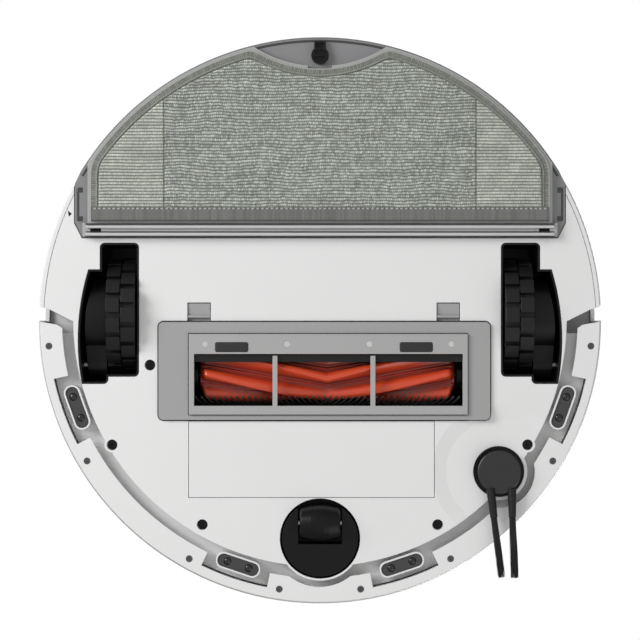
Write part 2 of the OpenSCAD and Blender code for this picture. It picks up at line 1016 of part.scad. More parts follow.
module caster_wheel() {
    half = roller_w / 2;
    end_r = roller_r - 1.8;
    color("black")
        difference() {
            translate([0, roller_y, roller_r])
                rotate([0, 90, 0])
                    rotate_extrude()
                        polygon([
                            [0, -half], [end_r - 1, -half],
                            [end_r, -half + 1], [roller_r - 0.4, -half * 0.45],
                            [roller_r, -half * 0.2], [roller_r, half * 0.2], [roller_r - 0.4, half * 0.45],
                            [end_r, half - 1], [end_r - 1, half], [0, half]
                        ]);
            bar_x(-wide, wide, roller_y, roller_r, caster_axle_r + run_gap);
        }
}

module side_brush_hub() {
    color("black")
        translate([side_brush_x, side_brush_y, 0])
            difference() {
                union() {
                    translate([0, 0, hub_z])
                        cylinder(h = hub_t, r = hub_r);
                    translate([0, 0, hub_z + hub_t - 0.5])
                        cylinder(h = 14, r = stem_r);
                }
                translate([0, 0, hub_z - 0.1])
                    cylinder(h = 0.9, r1 = 7.3, r2 = 6.4);
                translate([-side_brush_x, -side_brush_y, 0])
                    on_brush_arms(0)
                        cylinder(h = 20, r = sleeve_r + 0.05);
            }
}

// Places its children on each of the two brush arms, start along it from the disc's edge.
module on_brush_arms(start) {
    for (i = [0, 1])
        translate([side_brush_x + arm_offsets[i], side_brush_y - sleeve_start, hub_z + 0.7])
            rotate([90, 0, arm_turns[i]])
                translate([0, 0, start])
                    children();
}

module side_brush_sleeves() {
    color("black")
        on_brush_arms(0.1)
            cylinder(h = sleeve_end - sleeve_start, r = sleeve_r);
}

module side_brush_bristles() {
    color("black")
        on_brush_arms(sleeve_end - sleeve_start + 0.2)
            rotate([bristle_droop, 0, 0])
                cylinder(h = brush_reach - sleeve_end - 0.4, r1 = 1.5, r2 = 0.9);
}

module brush_core() {
    color("dimgray")
        union() {
            bar_x(brush_x0, brush_x1, brush_y, brush_z, core_r);
            bar_x(cavity_x0 + 0.6, cavity_x1 - 0.6, brush_y, brush_z, journal_r);
        }
}

// One end view of the brush: a sleeve with fins that stand out of it.
function fin_points() = [
    for (i = [0:fin_count - 1])
        for (p = [[core_r + 2, -20], [core_r + 2.2, -9], [brush_r, -3.5], [brush_r, 3.5], [core_r + 2.2, 9]])
            let (turn = i * 360 / fin_count + p.y)
            p.x * [cos(turn), sin(turn)]
];

// Half of the brush's rubber, twisted so that its fins make one arm of a V.
module fin_half(length, turn) {
    linear_extrude(length, twist = turn, slices = 10, segments = 1)
        difference() {
            polygon(fin_points());
            circle(core_r + 0.1, $fn = 24);
        }
}

module brush_fins() {
    middle_x = (brush_x0 + brush_x1) / 2;
    half = (brush_x1 - brush_x0) / 2 - 0.1;
    color("orangered")
        translate([middle_x, brush_y, brush_z])
            union() {
                rotate([0, 90, 0])
                    fin_half(half, -75);
                mirror([1, 0, 0])
                    rotate([0, 90, 0])
                        fin_half(half, -75);
            }
}

module cover_plate() {
    w = guard_left - guard_right;
    l = guard_rear - guard_front;
    color("darkgray")
        difference() {
            translate([(guard_left + guard_right) / 2, (guard_rear + guard_front) / 2, 0])
                slab(cover_z, guard_top - cover_z)
                    rounded_rect(w, l, 3);
            box(frame_x0 - 0.5, frame_x1 + 0.5, frame_y0 - 0.5, frame_y1 + 0.5, 0, plate_top);
        }
}

module guard_frame() {
    color("gray")
        difference() {
            union() {
                difference() {
                    box(frame_x0, frame_x1, frame_y0, frame_y1, guard_z, guard_top);
                    box(mouth_x0, mouth_x1, mouth_y0, mouth_y1, 0, plate_top);
                }
                for (x = bar_x)
                    box(x, x + bar_w, mouth_y0 - 1, mouth_y1 + 1, guard_z, guard_z + 1.8);
            }
            box(mouth_x0 + 0.6, mouth_x1 - 0.6, mouth_y1 - 1, mouth_y1 + 0.1, 0, plate_top);
            for (x = guard_screw_x)
                translate([x, guard_screw_y, 0])
                    cylinder(h = plate_top, r = guard_screw_r + 0.05);
        }
}

module wiper_blade() {
    color("black")
        box(mouth_x0 + 0.3, mouth_x1 - 0.3, mouth_y1 - blade_w, mouth_y1 - 0.2, guard_z + 2, guard_top);
}

module guard_screws() {
    color("silver")
        for (x = guard_screw_x)
            translate([x, guard_screw_y, 0])
                difference() {
                    translate([0, 0, guard_z + 0.1])
                        cylinder(h = guard_top - guard_z - 0.1, r = guard_screw_r);
                    box(-1.1, 1.1, -0.3, 0.3, 0, guard_z + 0.9);
                    box(-0.3, 0.3, -1.1, 1.1, 0, guard_z + 0.9);
                }
}

// A finger tab that frees one end of the brush cover.
module cover_latch(x) {
    translate([x - latch_w / 2, latch_y, latch_z])
        rotate([90, 0, 90])
            linear_extrude(latch_w) {
                polygon([
                    [0, 0], [2, 0], [2.4, 2.2], [5.2, 2.2], [5.4, -0.2], [6.8, -0.2], [7.2, 1],
                    [latch_l, 0.2], [latch_l, latch_t + 0.2], [7.2, latch_t + 1],
                    [5, latch_t + 2.2], [1.8, latch_t + 2.2], [1.4, latch_t], [0, latch_t]
                ]);
                translate([0, latch_t / 2])
                    circle(latch_t / 2);
            }
}

module cover_latch_left() {
    color("gray")
        cover_latch(latch_x[0]);
}

module cover_latch_right() {
    color("gray")
        cover_latch(latch_x[1]);
}

// The tank's sides and front seen from above, made smaller by inset, with its corners cut.
module tank_outline(inset) {
    polygon(mirrored([
        [tank_half_w - corner_cut - inset / 2, tank_front + inset],
        [tank_half_w - inset, tank_front + 2 * corner_cut + inset / 2],
        [tank_half_w - inset, wide]
    ]));
}

// The tank's body from z up, made smaller by inset all round.
module tank_body(inset, z, t) {
    intersection() {
        slab(z, t)
            tank_outline(inset);
        translate([0, stand_out, 0])
            tapered_body(0.4 + inset);
    }
}

module tank_shell() {
    color("gray", 0.6)
        difference() {
            tank_body(0, tank_z, tank_top - tank_z);
            difference() {
                tank_body(tank_t, tank_z + tank_t, tank_top);
                box(-wide, wide, divider_y, divider_y + 2, 0, body_h);
            }
            box(-duct_half_w + duct_t, duct_half_w - duct_t, 0, divider_y - 5, port_z, port_z + port_h);
            box(fan_x - 16, fan_x + 16, 0, divider_y - 5, fan_z + 9, fan_z + fan_h - 2);
        }
}

module tank_lid() {
    color("dimgray")
        tank_body(0, tank_top + 0.1, tank_lid_t - 0.2);
}

module dust_bin() {
    color("gray")
        difference() {
            box(-bin_x, bin_x, bin_y0, bin_y1, bin_z0, bin_z1);
            translate([-bin_x + bin_t, bin_y0 + bin_t, bin_z0 + bin_t])
                cube([2 * bin_x, bin_y1 - bin_y0, bin_z1 - bin_z0] - 2 * bin_t * [1, 1, 1]);
            box(-duct_half_w + duct_t, duct_half_w - duct_t, 0, bin_y0 + 5, port_z, port_z + port_h);
            box(fan_x - 16, fan_x + 16, 0, bin_y0 + 5, fan_z + 9, fan_z + fan_h - 2);
        }
}

module dust_filter() {
    pleat = 4;
    pleats = filter_w / pleat;
    color("white")
        translate([filter_x - filter_w / 2, bin_y0 + bin_t + 0.2, fan_z + 5])
            linear_extrude(fan_h - 4)
                polygon(concat(
                    [[0, 0], [filter_w, 0]],
                    [for (i = [2 * pleats:-1:0]) [i * pleat / 2, i % 2 == 0 ? filter_t - 2.5 : filter_t]]
                ));
}

// The cloth seen from below, made smaller by inset all round.
module cloth_outline(inset) {
    difference() {
        intersection() {
            translate([0, stand_out])
                circle(cloth_r - inset, $fn = 180);
            translate([-cloth_half_w + inset, cloth_front + inset])
                square([2 * (cloth_half_w - inset), wide]);
        }
        translate([0, notch_y + notch_r])
            circle(notch_r + inset);
    }
}

// Plate that carries the cloth, with the ribbed bar along its front.
module mop_plate() {
    ribs = 4;
    bar_half_w = tank_half_w - corner_cut - 0.5;
    color("dimgray")
        difference() {
            union() {
                slab(mop_plate_z, mop_plate_t)
                    cloth_outline(-1.4);
                slab(mop_plate_z, mop_plate_t)
                    translate([-bar_half_w, tank_front + 0.6])
                        square([2 * bar_half_w, cloth_front - tank_front - 1.6]);
                for (i = [0:ribs - 1])
                    translate([-clip_x + 6, tank_front + 1.6 + i * 1.7, mop_plate_z - 0.8])
                        cube([2 * clip_x - 12, 0.8, 1.8]);
            }
            both_sides()
                box(clip_x - clip_w / 2 - 0.2, clip_x + clip_w / 2 + 0.2, 0, tank_front + 5.4, 0, body_h);
            box(-tank_latch_r - 2, tank_latch_r + 2, notch_y - 0.6, wide, 0, body_h);
        }
}

module mop_clips() {
    color("black")
        both_sides()
            bar_x(clip_x - clip_w / 2, clip_x + clip_w / 2, tank_front + 3, mop_plate_z + 1.3, clip_r);
}

module mop_cloth() {
    color("slategray")
        difference() {
            slab(cloth_z, cloth_t)
                cloth_outline(0);
            box(-wide, wide, 0, cloth_front + strip_w, 0, body_h);
        }
}

module cloth_strip() {
    color("darkslategray")
        slab(cloth_z + 0.4, cloth_t - 0.4)
            intersection() {
                cloth_outline(0);
                translate([-wide, cloth_front])
                    square([2 * wide, strip_w - 0.1]);
            }
}

module tank_latch() {
    color("black")
        difference() {
            union() {
                box(-3.5, 3.5, latch_front + 5, latch_back, mop_plate_z, tank_z - 0.3);
                translate([0, latch_front + tank_latch_r, mop_plate_z])
                    cylinder(h = tank_z - 0.3 - mop_plate_z, r = tank_latch_r);
            }
            box(-2.3, 2.3, latch_back - 3.8, latch_back - 1.2, mop_plate_z - 1, mop_plate_z + 1.6);
            translate([0, latch_front + tank_latch_r, mop_plate_z - 1])
                difference() {
                    cylinder(h = 2.4, r = 3.6);
                    box(-4, 4, -0.8, 0.8, 1, 3);
                }
        }
}

module button(x) {
    translate([x, button_y, 0])
        union() {
            translate([0, 0, cover_under - 1.5])
                cylinder(h = cover_t + 2.1, r = button_r);
            translate([0, 0, cover_under - 6])
                cylinder(h = 5, r = 2);
        }
}

module power_button() {
    color("silver")
        button(button_x);
}

module home_button() {
    color("silver")
        button(-button_x);
}

base_plate();
mid_frame();
rear_frame();
side_shell();
top_cover();
battery_cover();
battery_pack();
main_board();
brush_housing();
brush_motor();
suction_duct();
fan_housing();
side_brush_motor();
cliff_housings();
cliff_windows();
caster_socket();
left_wheel_well();
right_wheel_well();
wheel_pivot_pins();
brush_end_caps();
base_screws();
lidar_base();
turret_cap();
bumper_shell();
bumper_lip();
bumper_window();
bumper_screws();
left_arm();
left_tyre();
left_hub();
right_arm();
right_tyre();
right_hub();
caster_fork();
caster_axle();
caster_wheel();
side_brush_hub();
side_brush_sleeves();
side_brush_bristles();
brush_core();
brush_fins();
cover_plate();
guard_frame();
wiper_blade();
guard_screws();
cover_latch_left();
cover_latch_right();
tank_shell();
tank_lid();
mop_plate();
mop_cloth();
cloth_strip();
mop_clips();
dust_bin();
dust_filter();
tank_latch();
lidar_rotor();
power_button();
home_button();
fan_impeller();
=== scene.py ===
"""Robot vacuum with a mop cloth, seen from straight below: materials and fine pieces."""
import math

import bpy
import numpy as np
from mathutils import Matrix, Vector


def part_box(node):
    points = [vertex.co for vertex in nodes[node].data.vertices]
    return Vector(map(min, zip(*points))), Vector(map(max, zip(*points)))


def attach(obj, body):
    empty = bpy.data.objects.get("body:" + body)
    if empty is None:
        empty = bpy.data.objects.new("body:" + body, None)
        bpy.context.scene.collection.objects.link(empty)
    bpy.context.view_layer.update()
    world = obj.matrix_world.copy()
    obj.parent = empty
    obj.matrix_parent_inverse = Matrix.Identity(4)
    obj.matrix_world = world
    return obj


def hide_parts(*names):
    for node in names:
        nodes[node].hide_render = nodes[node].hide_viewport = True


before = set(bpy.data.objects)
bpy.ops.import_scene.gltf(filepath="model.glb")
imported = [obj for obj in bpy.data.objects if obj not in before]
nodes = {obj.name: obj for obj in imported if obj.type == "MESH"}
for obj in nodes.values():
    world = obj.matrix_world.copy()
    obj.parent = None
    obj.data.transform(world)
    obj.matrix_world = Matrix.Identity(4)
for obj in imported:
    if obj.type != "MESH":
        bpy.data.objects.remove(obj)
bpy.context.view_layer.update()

MM = 0.001

# ---- Camera ---------------------------------------------------------------------------------
# The robot stands on the floor and is looked at from straight below, bumper down, tank up.
# The lens is a short telephoto, so the flat underside keeps its true proportions.
CAMERA_DROP = 1.301
LENS_MM = 121.3

camera_data = bpy.data.cameras.new("camera_below")
camera_data.lens = LENS_MM
camera_data.clip_start = 0.01
camera = bpy.data.objects.new("camera_below", camera_data)
camera.location = (0.0, 0.0, -CAMERA_DROP)
camera.rotation_euler = (0.0, math.pi, 0.0)
bpy.context.scene.collection.objects.link(camera)
bpy.context.scene.camera = camera
bpy.context.scene.view_settings.view_transform = "Standard"


# ---- Floor and light ------------------------------------------------------------------------
# A pale floor that is solid from above and clear from below, where the robot is looked at
# through it. Soft panels light the underside, and a second set lights the top.
def mesh_piece(name, verts, faces, smooth=True):
    """A mesh object from an array of points and an array, or a list, of faces."""
    mesh = bpy.data.meshes.new(name)
    mesh.from_pydata(np.asarray(verts).tolist(), [], np.asarray(faces).tolist())
    mesh.polygons.foreach_set("use_smooth", np.full(len(mesh.polygons), smooth))
    mesh.update()
    piece = bpy.data.objects.new(name, mesh)
    bpy.context.scene.collection.objects.link(piece)
    return piece


def floor_finish():
    """Pale matt floor on its upper side, nothing at all on its lower side."""
    material = bpy.data.materials.new("floor_finish")
    material.use_nodes = True
    tree = material.node_tree
    shader = tree.nodes["Principled BSDF"]
    shader.inputs["Base Color"].default_value = (0.80, 0.80, 0.79, 1.0)
    shader.inputs["Roughness"].default_value = 0.7
    clear = tree.nodes.new("ShaderNodeBsdfTransparent")
    side = tree.nodes.new("ShaderNodeNewGeometry")
    mix = tree.nodes.new("ShaderNodeMixShader")
    tree.links.new(side.outputs["Backfacing"], mix.inputs[0])
    tree.links.new(shader.outputs[0], mix.inputs[1])
    tree.links.new(clear.outputs[0], mix.inputs[2])
    tree.links.new(mix.outputs[0], tree.nodes["Material Output"].inputs["Surface"])
    return material


FLOOR_HALF = 4.0
floor_corners = FLOOR_HALF * np.array([(-1, -1, 0), (1, -1, 0), (1, 1, 0), (-1, 1, 0)], float)
floor = mesh_piece("floor", floor_corners, [(0, 1, 2, 3)], smooth=False)
floor.data.materials.append(floor_finish())
floor.visible_shadow = False
floor.visible_diffuse = False
floor.visible_glossy = False
floor.visible_transmission = False


def soft_panel(name, place, size, power):
    """A square light panel at place that faces the robot."""
    panel = bpy.data.lights.new(name, "AREA")
    panel.size = size
    panel.energy = power
    holder = bpy.data.objects.new(name, panel)
    holder.location = place
    aim = -np.array(place) / np.linalg.norm(place)
    holder.rotation_euler = (math.acos(-aim[2]), 0.0, math.atan2(aim[1], aim[0]) - math.pi / 2)
    bpy.context.scene.collection.objects.link(holder)


soft_panel("panel_below_key", (1.25, 0.55, -0.85), 0.8, 19.0)
soft_panel("panel_below_fill", (-0.9, -1.0, -0.8), 1.2, 5.0)
soft_panel("panel_above_key", (-0.9, -1.0, 1.5), 1.0, 26.0)
soft_panel("panel_above_fill", (1.2, 0.7, 1.2), 1.4, 12.0)


def studio_world():
    """White surroundings to the eye; as light, brightest below and dim towards the horizon."""
    world = bpy.data.worlds.new("studio")
    world.use_nodes = True
    tree = world.node_tree
    seen = tree.nodes["Background"]
    seen.inputs["Color"].default_value = (1.0, 1.0, 1.0, 1.0)
    seen.inputs["Strength"].default_value = 1.0
    light = tree.nodes.new("ShaderNodeBackground")
    light.inputs["Color"].default_value = (1.0, 1.0, 0.99, 1.0)
    place = tree.nodes.new("ShaderNodeTexCoord")
    parts = tree.nodes.new("ShaderNodeSeparateXYZ")
    height = tree.nodes.new("ShaderNodeMapRange")
    height.inputs["From Min"].default_value = -1.0
    height.inputs["From Max"].default_value = 0.1
    height.inputs["To Min"].default_value = 0.62
    height.inputs["To Max"].default_value = 0.16
    tree.links.new(place.outputs["Generated"], parts.inputs[0])
    tree.links.new(parts.outputs["Z"], height.inputs["Value"])
    tree.links.new(height.outputs["Result"], light.inputs["Strength"])
    path = tree.nodes.new("ShaderNodeLightPath")
    mix = tree.nodes.new("ShaderNodeMixShader")
    tree.links.new(path.outputs["Is Camera Ray"], mix.inputs[0])
    tree.links.new(light.outputs[0], mix.inputs[1])
    tree.links.new(seen.outputs[0], mix.inputs[2])
    tree.links.new(mix.outputs[0], tree.nodes["World Output"].inputs["Surface"])
    return world


bpy.context.scene.world = studio_world()


# ---- White shells ---------------------------------------------------------------------------
# Base plate, battery cover, side shell, bumper lip and sensor housings: white ABS, moulded with
# a fine spark grain. The bumper shell, top cover and turret cap are the same white, glossier.
def moulded_plastic(name, colour, rough, grain_mm=0.35, grain=0.12, cloud=0.04, edge_mm=0.5, shine=0.5):
    """Injection-moulded plastic: spark grain in bump, faint flow clouds in colour and gloss."""
    material = bpy.data.materials.new(name)
    material.use_nodes = True
    tree = material.node_tree
    shader = tree.nodes["Principled BSDF"]
    place = tree.nodes.new("ShaderNodeTexCoord")
    flow = tree.nodes.new("ShaderNodeTexNoise")
    flow.inputs["Scale"].default_value = 22.0
    flow.inputs["Detail"].default_value = 4.0
    spark = tree.nodes.new("ShaderNodeTexNoise")
    spark.inputs["Scale"].default_value = 1.0 / (grain_mm * MM)
    spark.inputs["Detail"].default_value = 2.0
    tint = tree.nodes.new("ShaderNodeMix")
    tint.data_type = "RGBA"
    tint.inputs["A"].default_value = (*[c * (1.0 - cloud) for c in colour], 1.0)
    tint.inputs["B"].default_value = (*[min(1.0, c * (1.0 + cloud)) for c in colour], 1.0)
    gloss = tree.nodes.new("ShaderNodeMapRange")
    gloss.inputs["To Min"].default_value = rough - 0.06
    gloss.inputs["To Max"].default_value = rough + 0.08
    edge = tree.nodes.new("ShaderNodeBevel")
    edge.samples = 4
    edge.inputs["Radius"].default_value = edge_mm * MM
    bump = tree.nodes.new("ShaderNodeBump")
    bump.inputs["Strength"].default_value = grain
    bump.inputs["Distance"].default_value = 0.1 * MM
    shader.inputs["Specular IOR Level"].default_value = shine
    links = tree.links
    links.new(place.outputs["Object"], flow.inputs["Vector"])
    links.new(place.outputs["Object"], spark.inputs["Vector"])
    links.new(flow.outputs["Fac"], tint.inputs["Factor"])
    links.new(flow.outputs["Fac"], gloss.inputs["Value"])
    links.new(spark.outputs["Fac"], bump.inputs["Height"])
    links.new(edge.outputs["Normal"], bump.inputs["Normal"])
    links.new(tint.outputs["Result"], shader.inputs["Base Color"])
    links.new(gloss.outputs["Result"], shader.inputs["Roughness"])
    links.new(bump.outputs["Normal"], shader.inputs["Normal"])
    return material


def finish_nodes(material, *names):
    """Gives CAD pieces a finish through their material slots."""
    for name in names:
        piece = nodes[name]
        if not piece.material_slots:
            piece.data.materials.append(material)
        for material_slot in piece.material_slots:
            material_slot.material = material


white_abs = moulded_plastic("white_abs", (0.80, 0.80, 0.80), 0.42, cloud=0.015)
cover_white = moulded_plastic("cover_white", (0.83, 0.83, 0.83), 0.25, grain=0.04, cloud=0.01)
finish_nodes(white_abs, "base_plate", "battery_cover", "side_shell", "bumper_lip", "cliff_housings")
finish_nodes(cover_white, "bumper_shell", "top_cover", "turret_cap")

# ---- Hidden frame and black mouldings -------------------------------------------------------
# The channel roof behind the bumper is white plastic that lies in shade, coloured a darker grey
# than the shells as painted shade. The wheel wells, bay walls and brush housing are black with a
# spark grain, as are the arms, hubs, clips and tank latch.
# Darker than white_abs: painted shade for the recessed channel roof.
channel_shaded_white = moulded_plastic("channel_shaded_white", (0.66, 0.66, 0.66), 0.5, cloud=0.03)
housing_black = moulded_plastic(
    "housing_black", (0.006, 0.006, 0.006), 0.33, grain=0.12, cloud=0.2, shine=0.25,
)
finish_nodes(channel_shaded_white, "mid_frame")
finish_nodes(
    housing_black, "rear_frame", "left_wheel_well", "right_wheel_well", "brush_housing",
    "suction_duct", "fan_housing", "side_brush_motor", "brush_end_caps", "lidar_base",
    "left_arm", "right_arm", "left_hub", "right_hub", "lidar_rotor", "tank_latch", "mop_clips",
)

# ---- Black gloss pieces ---------------------------------------------------------------------
# Caster fork and roller, side brush disc, sensor lenses and infrared window: polished black.
gloss_black = moulded_plastic(
    "gloss_black", (0.004, 0.004, 0.004), 0.3, grain=0.03, cloud=0.1, shine=0.25,
)
lens_black = moulded_plastic("lens_black", (0.05, 0.05, 0.052), 0.2, grain=0.02, cloud=0.1)
finish_nodes(
    gloss_black, "caster_socket", "caster_fork", "caster_wheel", "side_brush_hub", "bumper_window",
)
finish_nodes(lens_black, "cliff_windows")

# ---- Grey brush cover and latches -----------------------------------------------------------
# Cover plate, guard frame and two latches: mid grey ABS with a fine grain. The buttons on the
# top and the fan inside are moulded in a paler grey.
cover_grey = moulded_plastic("cover_grey", (0.36, 0.36, 0.36), 0.36, grain=0.1, cloud=0.04)
guard_grey = moulded_plastic("guard_grey", (0.40, 0.40, 0.40), 0.3, grain=0.06, cloud=0.04)
button_grey = moulded_plastic("button_grey", (0.55, 0.55, 0.56), 0.3, grain=0.05, cloud=0.03)
finish_nodes(cover_grey, "cover_plate", "cover_latch_left", "cover_latch_right")
finish_nodes(guard_grey, "guard_frame")
finish_nodes(button_grey, "power_button", "home_button", "fan_impeller")


# ---- Screws, axles and metal cans -----------------------------------------------------------
# Pins, axle and motor can are zinc-plated, the cover's screws are nickel and the bumper's dull
# steel. The base screws are near-black steel, painted shade for the deep holes they sit in. All
# have fine scratches that change their gloss.
def plated_steel(name, colour, rough):
    """Bright metal with fine scratches that change its gloss."""
    material = bpy.data.materials.new(name)
    material.use_nodes = True
    tree = material.node_tree
    shader = tree.nodes["Principled BSDF"]
    shader.inputs["Metallic"].default_value = 1.0
    place = tree.nodes.new("ShaderNodeTexCoord")
    scratch = tree.nodes.new("ShaderNodeTexNoise")
    scratch.inputs["Scale"].default_value = 900.0
    scratch.inputs["Detail"].default_value = 3.0
    gloss = tree.nodes.new("ShaderNodeMapRange")
    gloss.inputs["To Min"].default_value = rough - 0.1
    gloss.inputs["To Max"].default_value = rough + 0.15
    tint = tree.nodes.new("ShaderNodeMix")
    tint.data_type = "RGBA"
    tint.inputs["A"].default_value = (*[c * 0.85 for c in colour], 1.0)
    tint.inputs["B"].default_value = (*colour, 1.0)
    tree.links.new(place.outputs["Object"], scratch.inputs["Vector"])
    tree.links.new(scratch.outputs["Fac"], gloss.inputs["Value"])
    tree.links.new(scratch.outputs["Fac"], tint.inputs["Factor"])
    tree.links.new(gloss.outputs["Result"], shader.inputs["Roughness"])
    tree.links.new(tint.outputs["Result"], shader.inputs["Base Color"])
    return material


zinc = plated_steel("zinc", (0.55, 0.55, 0.56), 0.35)
nickel = plated_steel("nickel", (0.95, 0.94, 0.92), 0.16)
# Near-black base screws: painted shade for their deep holes.
hole_shade_steel = plated_steel("hole_shade_steel", (0.035, 0.035, 0.037), 0.4)
finish_nodes(zinc, "wheel_pivot_pins", "caster_axle", "brush_motor")
finish_nodes(nickel, "guard_screws")
finish_nodes(hole_shade_steel, "base_screws")
dull_steel = plated_steel("dull_steel", (0.16, 0.16, 0.165), 0.45)
finish_nodes(dull_steel, "bumper_screws")

# ---- Battery and board ----------------------------------------------------------------------
# Shrink-wrapped cells under their cover and the green board above them, both out of sight.
cell_wrap = moulded_plastic("cell_wrap", (0.03, 0.09, 0.30), 0.3, cloud=0.1)
board_green = moulded_plastic("board_green", (0.01, 0.10, 0.04), 0.4, cloud=0.2)
finish_nodes(cell_wrap, "battery_pack")
finish_nodes(board_green, "main_board")

# ---- Tyres ----------------------------------------------------------------------------------
# Black moulded rubber with two rows of square blocks: dull, and mottled by wear and dust.
tyre_rubber = moulded_plastic(
    "tyre_rubber", (0.010, 0.010, 0.010), 0.4, grain_mm=0.5, grain=0.2, cloud=0.3, edge_mm=0.6, shine=0.3,
)
finish_nodes(tyre_rubber, "left_tyre", "right_tyre")

# ---- Cliff sensor eyes ----------------------------------------------------------------------
# Each sensor has a sender and a receiver: two smoky domes that stand in the dark window.
CLIFF_ANGLES = np.radians([-19.8, -71.5, -160.2, -108.5])
CLIFF_RADIUS = 157.0 * MM
EYE_OFFSET = 6.75 * MM
EYE_R = 2.3 * MM
EYE_DEPTH = 1.2 * MM


def grid_faces(rows, cols, close_cols=False, close_rows=False):
    """Quads of a rows by cols grid of points, in reading order, closed round where asked."""
    r = np.arange(rows if close_rows else rows - 1)
    c = np.arange(cols if close_cols else cols - 1)
    r, c = [a.ravel() for a in np.meshgrid(r, c, indexing="ij")]
    r1, c1 = (r + 1) % rows, (c + 1) % cols
    return np.stack([r * cols + c, r * cols + c1, r1 * cols + c1, r1 * cols + c], axis=1)


def dome(centre, radius, depth, rings=8, round_steps=28):
    """Half an ellipsoid that bulges down: r = radius sin(t), z = -depth cos(t)."""
    t = np.linspace(0.02, math.pi / 2, rings)[:, None]
    turn = np.linspace(0, 2 * math.pi, round_steps, endpoint=False)[None, :]
    x = centre[0] + radius * np.sin(t) * np.cos(turn)
    y = centre[1] + radius * np.sin(t) * np.sin(turn)
    z = centre[2] - depth * np.cos(t) * np.ones_like(turn)
    points = np.stack([x, y, z], axis=-1).reshape(-1, 3)
    return points, grid_faces(rings, round_steps, close_cols=True)


def joined(parts):
    """One list of points and faces from several, each part's faces shifted past the last."""
    verts, faces, start = [], [], 0
    for part_verts, part_faces in parts:
        verts.append(part_verts)
        faces.append(np.asarray(part_faces) + start)
        start += len(part_verts)
    return np.concatenate(verts), np.concatenate(faces)


window_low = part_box("cliff_windows")[0][2]
eye_parts = []
for angle in CLIFF_ANGLES:
    out = np.array([math.cos(angle), math.sin(angle)])
    along = np.array([-out[1], out[0]])
    for side in (-1, 1):
        spot = out * CLIFF_RADIUS + along * side * EYE_OFFSET
        eye_parts.append(dome((*spot, window_low + 0.7 * MM), EYE_R, EYE_DEPTH))
sensor_eyes = mesh_piece("cliff_sensor_eyes", *joined(eye_parts))
eye_smoke = moulded_plastic("eye_smoke", (0.02, 0.02, 0.022), 0.08, grain=0.0, cloud=0.1)
sensor_eyes.data.materials.append(eye_smoke)
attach(sensor_eyes, "chassis")

# ---- Main brush rubber ----------------------------------------------------------------------
# A sleeve of orange-red rubber with swept fins that meet in a V at its middle, and lower
# ribs between them. A little light passes into the rubber. The core inside it is black.
FINS = 6
FIN_TURN = math.radians(75)
FIN_START = math.radians(34)
fin_low, fin_high = [np.array(c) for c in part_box("brush_fins")]
BRUSH_AXIS = (fin_low + fin_high) / 2
FIN_R = (fin_high[2] - fin_low[2]) / 2
SLEEVE_R = 10.0 * MM


def chevron_roller(rounds, steps):
    """Radius over angle a and place x: fins at a - turn |x|, each a broad bell, ribs between.

    The bell is exp(-(d / width)^2) of the distance d from the fin's middle, leaning over
    towards its tip. Near both ends the fins fall to the sleeve."""
    half = (fin_high[0] - fin_low[0]) / 2
    x = np.linspace(-half, half, steps)[:, None]
    a = np.linspace(0, 2 * math.pi, rounds, endpoint=False)[None, :]
    phase = a - FIN_TURN * np.abs(x) / half + FIN_START
    fin = (phase * FINS / (2 * math.pi)) % 1.0 - 0.5
    rib = (phase * FINS * 4 / (2 * math.pi)) % 1.0 - 0.5
    tall = np.exp(-np.abs((fin + 0.08) / 0.24) ** 3)
    low = np.exp(-(rib / 0.2) ** 2)
    fade = 1.0 - np.exp(-((half - np.abs(x)) / (2.0 * MM)) ** 2)
    height = np.maximum(tall * (FIN_R - SLEEVE_R - 0.5 * MM) + low * 0.5 * MM, low * 1.4 * MM)
    r = SLEEVE_R + height * fade
    y = BRUSH_AXIS[1] + r * np.sin(a)
    z = BRUSH_AXIS[2] - r * np.cos(a)
    x = BRUSH_AXIS[0] + x * np.ones_like(a)
    points = np.stack([x, y, z], axis=-1).reshape(-1, 3)
    faces = grid_faces(steps, rounds, close_cols=True)
    tipness = (r - SLEEVE_R) / (FIN_R - SLEEVE_R)
    return points, faces, tipness.ravel()


def fin_rubber():
    """Orange-red rubber: brighter orange at the fin tips, deep red at the sleeve as painted shade."""
    material = moulded_plastic(
        "fin_rubber", (0.62, 0.07, 0.02), 0.22, grain_mm=0.6, grain=0.12, cloud=0.1, shine=0.7,
    )
    tree = material.node_tree
    shader = tree.nodes["Principled BSDF"]
    shader.inputs["Subsurface Weight"].default_value = 0.15
    shader.inputs["Subsurface Scale"].default_value = 2.0 * MM
    tip = tree.nodes.new("ShaderNodeAttribute")
    tip.attribute_name = "tipness"
    # Deep red low between the fins, orange at their tips: painted shade.
    ramp = tree.nodes.new("ShaderNodeValToRGB")
    ramp.color_ramp.elements[0].color = (0.24, 0.016, 0.008, 1.0)
    ramp.color_ramp.elements[1].color = (0.62, 0.062, 0.018, 1.0)
    ramp.color_ramp.elements[1].position = 0.6
    tree.links.new(tip.outputs["Fac"], ramp.inputs["Fac"])
    tree.links.new(ramp.outputs["Color"], shader.inputs["Base Color"])
    return material


def paint(piece, name, values):
    """Writes one number per point as an attribute that the material reads."""
    attribute = piece.data.attributes.new(name, "FLOAT", "POINT")
    attribute.data.foreach_set("value", np.asarray(values, np.float32))


roller_points, roller_faces, roller_tips = chevron_roller(rounds=216, steps=220)
brush_rubber = mesh_piece("main_brush_rubber", roller_points, roller_faces)
paint(brush_rubber, "tipness", roller_tips)
brush_rubber.data.materials.append(fin_rubber())
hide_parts("brush_fins")
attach(brush_rubber, "main_brush")
finish_nodes(housing_black, "brush_core")

# ---- Wiper strip and cover pads -------------------------------------------------------------
# A strip of black rubber along the mouth, two dark grip pads let into the guard frame, and a
# thin black loop in the groove round the cover plate, painted shade for the gap there.
finish_nodes(tyre_rubber, "wiper_blade")
guard_low = np.array(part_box("guard_frame")[0])
PAD_SPANS = ((43.5 * MM, 63.7 * MM), (-68.4 * MM, -48.3 * MM))
PAD_Y = (-19.5 * MM, -13.4 * MM)
PAD_DEPTH = 0.5 * MM


